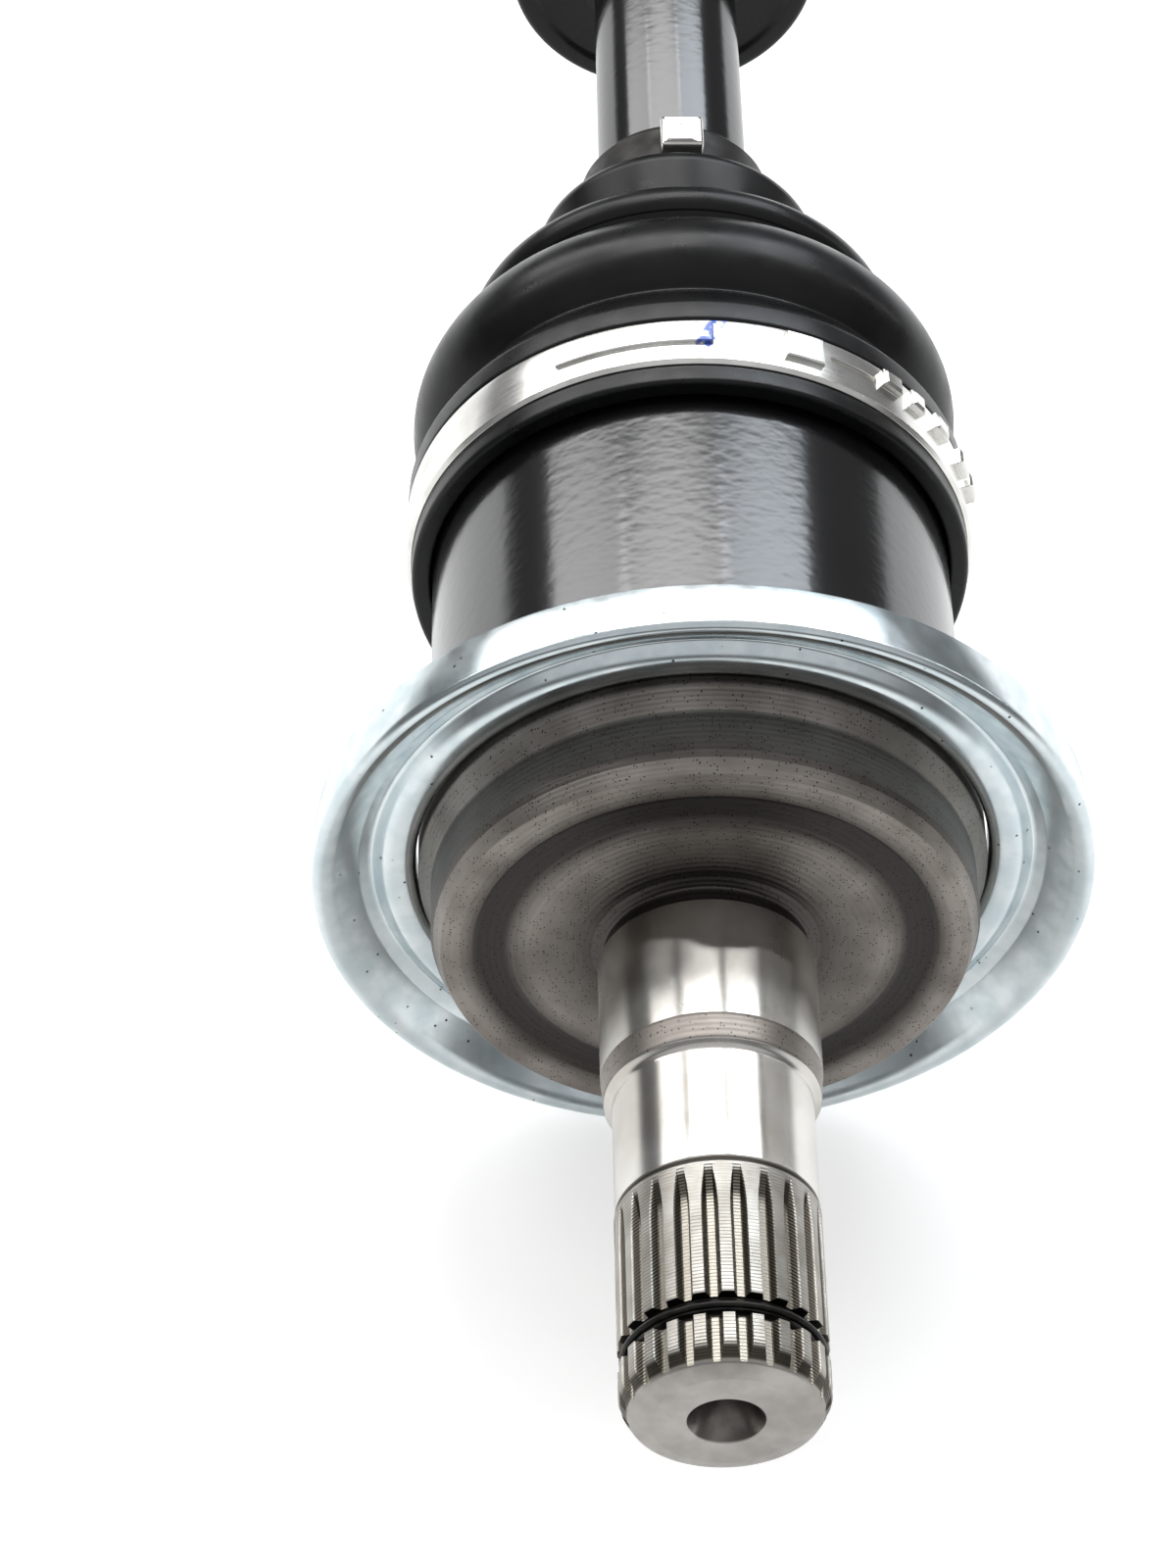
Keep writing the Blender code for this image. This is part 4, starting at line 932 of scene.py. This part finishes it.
# %% Turn the bar
bar_low, bar_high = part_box("bar")[0].y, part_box("bar")[1].y
SEAT = 24.0 * MM
bar_outline = [
    (0, bar_low), (9.5 * MM, bar_low), (10.7 * MM, bar_low + 1.2 * MM), (10.7 * MM, bar_low + SEAT),
    (11.45 * MM, bar_low + SEAT + 3 * MM), (11.45 * MM, bar_high - SEAT - 3 * MM),
    (10.7 * MM, bar_high - SEAT), (10.7 * MM, bar_high - 1.2 * MM), (9.5 * MM, bar_high), (0, bar_high),
]
bar = turned("bar_of_the_axle", bar_outline, steps=144)
wear(bar, "enamel", "hardened")
wear_between(bar, "hardened", bar_low - MM, bar_low + SEAT + 2 * MM)
wear_between(bar, "hardened", bar_high - SEAT - 2 * MM, bar_high + MM)
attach(bar, "bar")
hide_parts("bar")

# %% Damper: rubber cover, iron sleeve and clamp
damper_corners = [
    (11.5, 0.0, 0), (13.2, 0.0, 0.8), (14.0, 0.7, 0.8), (21.2, 0.7, 0.8), (22.0, 0.0, 0.8),
    (25.0, 0.0, 2.2), (25.0, 50.0, 0.8), (22.85, 50.0, 0.5), (22.85, 4.0, 0.5), (17.1, 4.0, 0.5),
    (17.1, 50.0, 0.6), (14.7, 50.0, 0.6), (14.7, 60.5, 0.6), (11.5, 60.5, 0.3),
]
damper = turned("damper_cover", rounded(damper_corners, DAMPER_FRONT, closed=True), closed=True)
wear(damper, "rubber")
sleeve_corners = [(17.15, 4.1, 0.6), (22.8, 4.1, 0.6), (22.8, 49.3, 0.8), (17.15, 49.3, 0.8)]
sleeve = turned("damper_sleeve", rounded(sleeve_corners, DAMPER_FRONT, closed=True), closed=True)
wear(sleeve, "iron")
for piece, node, slot_name in ((damper, "damper_rubber", "boot_rubber"),
                               (sleeve, "damper_weight", "hardened_steel")):
    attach(piece, "bar")
    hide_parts(node)
narrow_clamp("damper_band", "damper_clamp", inner=14.75 * MM)

# %% [markdown]
# ## Outboard bell
# The bell is turned like the cup. Its ball tracks are curved: each is a round cutter swung about the
# joint's centre. Its stub carries a spline for the hub and a thread for the axle nut, and the thread
# is cut by a V that a Screw modifier winds round the stub.

# %% Turn the bell and cut its tracks and spline
bell_corners = (
    [(0, 24.0, 0)] + arc(0, 0, 32.0, 32.0, range(48, -25, -8))
    + [(32.6, -19.2, 0.6), (36.2, -20.0, 0.3), (39.9, -20.0, 0.3), (40.5, -19.3, 0.3), (40.5, -3.6, 0.2),
       (42.0, -2.0, 0.5)]
    + arc(24.5, 17, 17.5, 18, range(0, 91, 9))
    + [(24.5, 38.0, 0.5), (14.8, 38.0, 0.2), (13.6, 39.2, 1.0), (13.6, 84.8, 0.5), (12.2, 86.2, 0.4),
       (10.2, 86.4, 0.4), (10.2, 88.2, 0.3), (11.0, 89.0, 0.2), (11.0, 110.0, 0.2), (9.8, 111.2, 0.3),
       (4.9, 111.2, 0.3), (1.9, 106.0, 0.2), (1.9, 101.2, 0.3), (0, 100.0, 0)]
)
bell = turned("outboard_bell_and_stub", rounded(bell_corners, OUTBOARD_CENTRE), steps=144)


def curved_tracks(ball_circle, radius, swing, widen, centre):
    """Six tracks for a joint whose balls run on arcs about its centre."""
    deselect()
    bpy.ops.mesh.primitive_circle_add(vertices=32, radius=radius, rotation=(math.pi / 2, 0, 0),
                                      location=(ball_circle, centre, 0))
    cutter = bpy.context.object
    fix_place()
    start_edit()
    bpy.ops.transform.rotate(value=swing / 2, orient_axis="Z", center_override=(0, centre, 0))
    bpy.ops.mesh.spin(steps=24, angle=swing, center=(0, centre, 0), axis=(0, 0, 1))
    bpy.ops.mesh.select_all(action="SELECT")
    bpy.ops.mesh.fill_holes(sides=0)
    bpy.ops.mesh.normals_make_consistent(inside=False)
    bpy.ops.transform.resize(value=(1, 1, widen), center_override=(0, centre, 0))
    leave_edit()
    reach = [(corner.co.y - centre) / MM for corner in cutter.data.vertices]
    print("tracks run from", round(min(reach), 1), "to", round(max(reach), 1), "mm from the centre")
    return copied_round(cutter, 6)


cut_away(bell, curved_tracks(ball_circle=28.5 * MM, radius=8.6 * MM, swing=math.radians(84),
                             widen=1.12, centre=OUTBOARD_CENTRE))
HUB_SPLINE_RADIUS, HUB_SPLINE_TEETH = 13.6 * MM, 24
cut_away(bell, spline_grooves(HUB_SPLINE_RADIUS, HUB_SPLINE_TEETH, OUTBOARD_CENTRE + 85.2 * MM,
                              OUTBOARD_CENTRE + 47.0 * MM))

# %% Cut the thread for the axle nut
THREAD_PITCH, THREAD_TURNS = 1.5 * MM, 16
deselect()
bpy.ops.mesh.primitive_circle_add(vertices=3, radius=0.8 * MM, rotation=(0, 0, math.pi / 2),
                                  location=(10.88 * MM, OUTBOARD_CENTRE + 88.4 * MM, 0))
thread_cutter = bpy.context.object
fix_place()
apply_modifier(thread_cutter, "SCREW", axis="Y", angle=TURN, screw_offset=THREAD_PITCH,
               iterations=THREAD_TURNS, steps=48, render_steps=48)
start_edit()
bpy.ops.mesh.fill_holes(sides=0)
bpy.ops.mesh.normals_make_consistent(inside=False)
leave_edit()
cut_away(bell, thread_cutter)
finish_piece(bell, "outboard_bell_and_stub", sharp=32)
wear(bell, "turned", "hub_spline", "threaded", "hardened")
wear_between(bell, "hub_spline", OUTBOARD_CENTRE + 38.5 * MM, OUTBOARD_CENTRE + 86.4 * MM,
             reach=15 * MM)
wear_between(bell, "threaded", OUTBOARD_CENTRE + 86.4 * MM, OUTBOARD_CENTRE + 112 * MM)
wear_between(bell, "hardened", OUTBOARD_CENTRE - 21 * MM, OUTBOARD_CENTRE + 25 * MM, reach=37.5 * MM)
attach(bell, "outboard_bell")
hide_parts("outboard_bell")

# %% Outboard boot, in millimetres from the joint's centre towards the bar
outboard_seat = [
    (42.0, 5.0, 0), (43.5, 5.0, 1.3), (43.5, 8.0, 0.5), (42.65, 8.0, 0.2), (42.65, 15.8, 0.2),
    (44.1, 15.8, 0.7), (44.1, 18.8, 0.9),
]
outboard_folds = [
    (38.3, 25.4, 1.4), (43.2, 31.6, 4.5), (42.6, 35.6, 4.0), (32.8, 40.4, 1.4), (37.2, 45.2, 3.5),
    (36.6, 49.0, 3.2), (26.8, 53.6, 1.3), (31.2, 58.3, 3.0), (30.6, 62.0, 2.8), (20.8, 66.4, 1.2),
    (25.2, 70.8, 2.5), (24.6, 74.2, 2.3), (15.2, 80.6, 1.4),
]
outboard_neck = [(13.45, 88.5, 0.8), (13.45, 100.0, 0.5), (12.4, 100.0, 0)]
outboard_inside = (
    [(42.0, 5.0, 0), (40.6, 5.0, 0.7), (40.6, 20.1, 0.2), (35.9, 20.2, 0.5)]
    + [(radius - BOOT_WALL, place, rounding) for radius, place, rounding in outboard_folds]
    + [(11.75, 88.8, 0.5), (11.75, 100.0, 0), (12.4, 100.0, 0)]
)
outboard_cuts = [OUTBOARD_CENTRE - place * MM for place in (4.9, 20.4, 33.0, 43.4, 55.4, 64.2, 100.1)]
boot_rings(
    "outboard_boot",
    rounded(outboard_seat + outboard_folds + outboard_neck, OUTBOARD_CENTRE, -1, facet=6),
    rounded(outboard_inside, OUTBOARD_CENTRE, -1), outboard_cuts,
    ("outboard_bell", "outboard_bell_ball", "outboard_cage", "outboard_bar_ball", "bar"))

# %% [markdown]
# ## Inside the joints
# The races, cages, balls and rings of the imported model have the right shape, so they stay and only
# get a real finish: lapped balls, ground and hardened races and cages, and black spring wire.

# %% Finish the pieces inside the joints
inside = {"cup_stop_ring": "wire"}
for side in ("inboard", "outboard"):
    inside.update({f"{side}_race": "hardened", f"{side}_cage": "hardened", f"{side}_race_clip": "wire"})
    inside.update({f"{side}_ball_{number}": "lapped" for number in range(1, 7)})
for node, finish in inside.items():
    piece = bpy.data.objects[node]
    for slot in piece.material_slots:
        slot.material = finishes[finish]
print(len(inside), "pieces inside the joints finished")

# %% [markdown]
# ## Floor and backdrop
# The floor is plain white and keeps the object's shadow. Far from the object it turns into an even
# white backdrop. Near the object it also glows in reflections. Farther out they show no floor, as in
# a room with dim sides, so that turned metal gets dark flanks beside its bright middle.

# %% Lay the floor
FLOOR_FADES, FLOOR_ENDS = 0.5, 0.9      # metres from the middle
FLOOR_GLOW, MIRRORED_SHARE = 0.6, 0.85


def floor_finish():
    finish, tree, shader = new_finish("matt_white_floor", Roughness=1.0, Specular_IOR_Level=0.0,
                                      Emission_Color=(1, 1, 1, 1))
    place = add(tree, "TexCoord").outputs["Object"]
    away = add(tree, "VectorMath", {0: place}, operation="LENGTH").outputs["Value"]
    near = spread(tree, away, FLOOR_ENDS, FLOOR_FADES)
    light = add(tree, "LightPath")
    seen = light.outputs["Is Camera Ray"]
    backdrop = reckon(tree, "MULTIPLY", seen, reckon(tree, "SUBTRACT", 1.0, near))
    mirrored = reckon(tree, "MULTIPLY", light.outputs["Is Glossy Ray"], near)
    mirrored = reckon(tree, "MULTIPLY", mirrored, MIRRORED_SHARE)
    shown = reckon(tree, "MAXIMUM", reckon(tree, "MAXIMUM", seen, mirrored),
                   light.outputs["Is Transmission Ray"])
    strength = reckon(tree, "MAXIMUM", reckon(tree, "MULTIPLY", shown, FLOOR_GLOW), backdrop)
    link(tree, shader, Base_Color=over(tree, backdrop, colour("E6E6E6"), (0, 0, 0, 1)),
         Emission_Strength=strength)
    return finish


deselect()
bpy.ops.mesh.primitive_plane_add(size=60, location=(0, 0, FLOOR - 0.1 * MM))
floor = bpy.context.object
floor.name = "floor"
floor.data.materials.append(floor_finish())

# %% [markdown]
# ## World and lamps
# Three panels hang side by side like the panes of a window. Each is turned to the part of the turned
# surfaces that it lights, which gives the two thin darker lines along the bright middle. A narrow
# strip over each panel stands higher: it lights the journals over the edge of the shield, and its
# shadow ends there. The world is a plain soft grey for diffuse light. In reflections it is a gradient
# with a paler wall behind the camera.

# %% Light the room
def light_world():
    world = bpy.data.worlds.new("soft_room")
    bpy.context.scene.world = world
    world.use_nodes = True
    tree = world.node_tree
    light = add(tree, "LightPath")
    way = add(tree, "SeparateXYZ", {"Vector": add(tree, "TexCoord").outputs["Generated"]})
    ramp = add(tree, "ValToRGB", {"Fac": way.outputs["Z"]})
    stops = ramp.color_ramp.elements
    stops[0].position, stops[0].color = 0.0, (0.16, 0.16, 0.165, 1)
    stops[1].position, stops[1].color = 1.0, (0.7, 0.7, 0.71, 1)
    for position, level in ((0.35, 0.22), (0.6, 0.5)):
        stop = stops.new(position)
        stop.color = (level, level, level * 1.02, 1)
    behind = spread(tree, way.outputs["Y"], -0.15, -0.6)
    wall = reckon(tree, "MULTIPLY", behind, spread(tree, way.outputs["Z"], 0.2, 0.4))
    room = over(tree, wall, ramp.outputs["Color"], (0.72, 0.73, 0.75, 1))
    plain = over(tree, light.outputs["Is Glossy Ray"], (0.3, 0.3, 0.3, 1), room)
    shown = reckon(tree, "MAXIMUM", light.outputs["Is Camera Ray"],
                   light.outputs["Is Transmission Ray"])
    link(tree, tree.nodes["Background"], Color=over(tree, shown, plain, (1, 1, 1, 1)))


light_world()
VIEW = Vector((-0.024, -0.654, 0.756))          # from the object to the eye
AIM = Vector((0, STUB_END + 70 * MM, 0))
PANEL_DISTANCE = 1.5


def panel(name, lean, width, height, radiance, along, roll=0.0):
    """A soft panel where a turned surface leaning that many degrees to the right reflects it. along is
    the share of its direction that runs back along the axle, which is 0.654 for a mirror."""
    swing = 2 * math.radians(lean) - math.atan2(VIEW.x, VIEW.z)
    across = math.sqrt(1 - along ** 2)
    towards = Vector((across * math.sin(swing), along, across * math.cos(swing)))
    side = Vector((0, 1, 0)).cross(towards).normalized()
    deselect()
    bpy.ops.object.light_add(type="AREA")
    lamp = bpy.context.object
    lamp.name = name
    lamp.data.shape = "RECTANGLE"
    lamp.data.size, lamp.data.size_y = width, height
    lamp.data.energy = radiance * math.pi * width * height
    turn = Matrix((side, towards.cross(side), towards)).transposed().to_4x4()
    turn = turn @ Matrix.Rotation(math.radians(roll), 4, "Z")
    lamp.matrix_world = Matrix.Translation(AIM + towards * PANEL_DISTANCE) @ turn
    return lamp


panel("left_panel", -25.8, 0.64, 0.49, 4.8, along=0.675)
panel("middle_panel", -6.1, 0.84, 0.49, 6.4, along=0.675)
right_panel = panel("right_panel", 14.5, 0.71, 0.49, 6.6, along=0.675)
right_panel.data.color = (0.86, 0.93, 1.0)
panel("left_strip", -25.8, 0.66, 0.04, 30, along=0.37, roll=9)
panel("middle_strip", -6.1, 0.86, 0.04, 40, along=0.455, roll=10)
panel("right_strip", 14.5, 0.73, 0.04, 40, along=0.46, roll=-6)
panel("dim_right_strip", 34.0, 0.80, 0.04, 8, along=0.42)

# %% [markdown]
# ## Camera
# The camera looks along the axle from above its stub, at the photograph's angle and distance.

# %% Set up the camera
EYE = (-0.0293, -0.6587, 0.4398)
RIGHT = Vector((0.9997, -0.0159, 0.0184)).normalized()
BACK = Vector((-0.0243, -0.6544, 0.7558)).normalized()
deselect()
bpy.ops.object.camera_add()
camera = bpy.context.object
camera.data.sensor_fit = "VERTICAL"
camera.data.sensor_height = 36
camera.data.lens = 97.77
camera.data.clip_start, camera.data.clip_end = 0.01, 100
up = BACK.cross(RIGHT).normalized()
turned_to = Matrix((up.cross(BACK), up, BACK)).transposed().to_4x4()
camera.matrix_world = Matrix.Translation(EYE) @ turned_to
bpy.context.scene.camera = camera
bpy.context.scene.view_settings.view_transform = "Standard"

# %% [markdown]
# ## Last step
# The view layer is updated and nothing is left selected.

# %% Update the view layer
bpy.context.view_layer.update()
deselect()
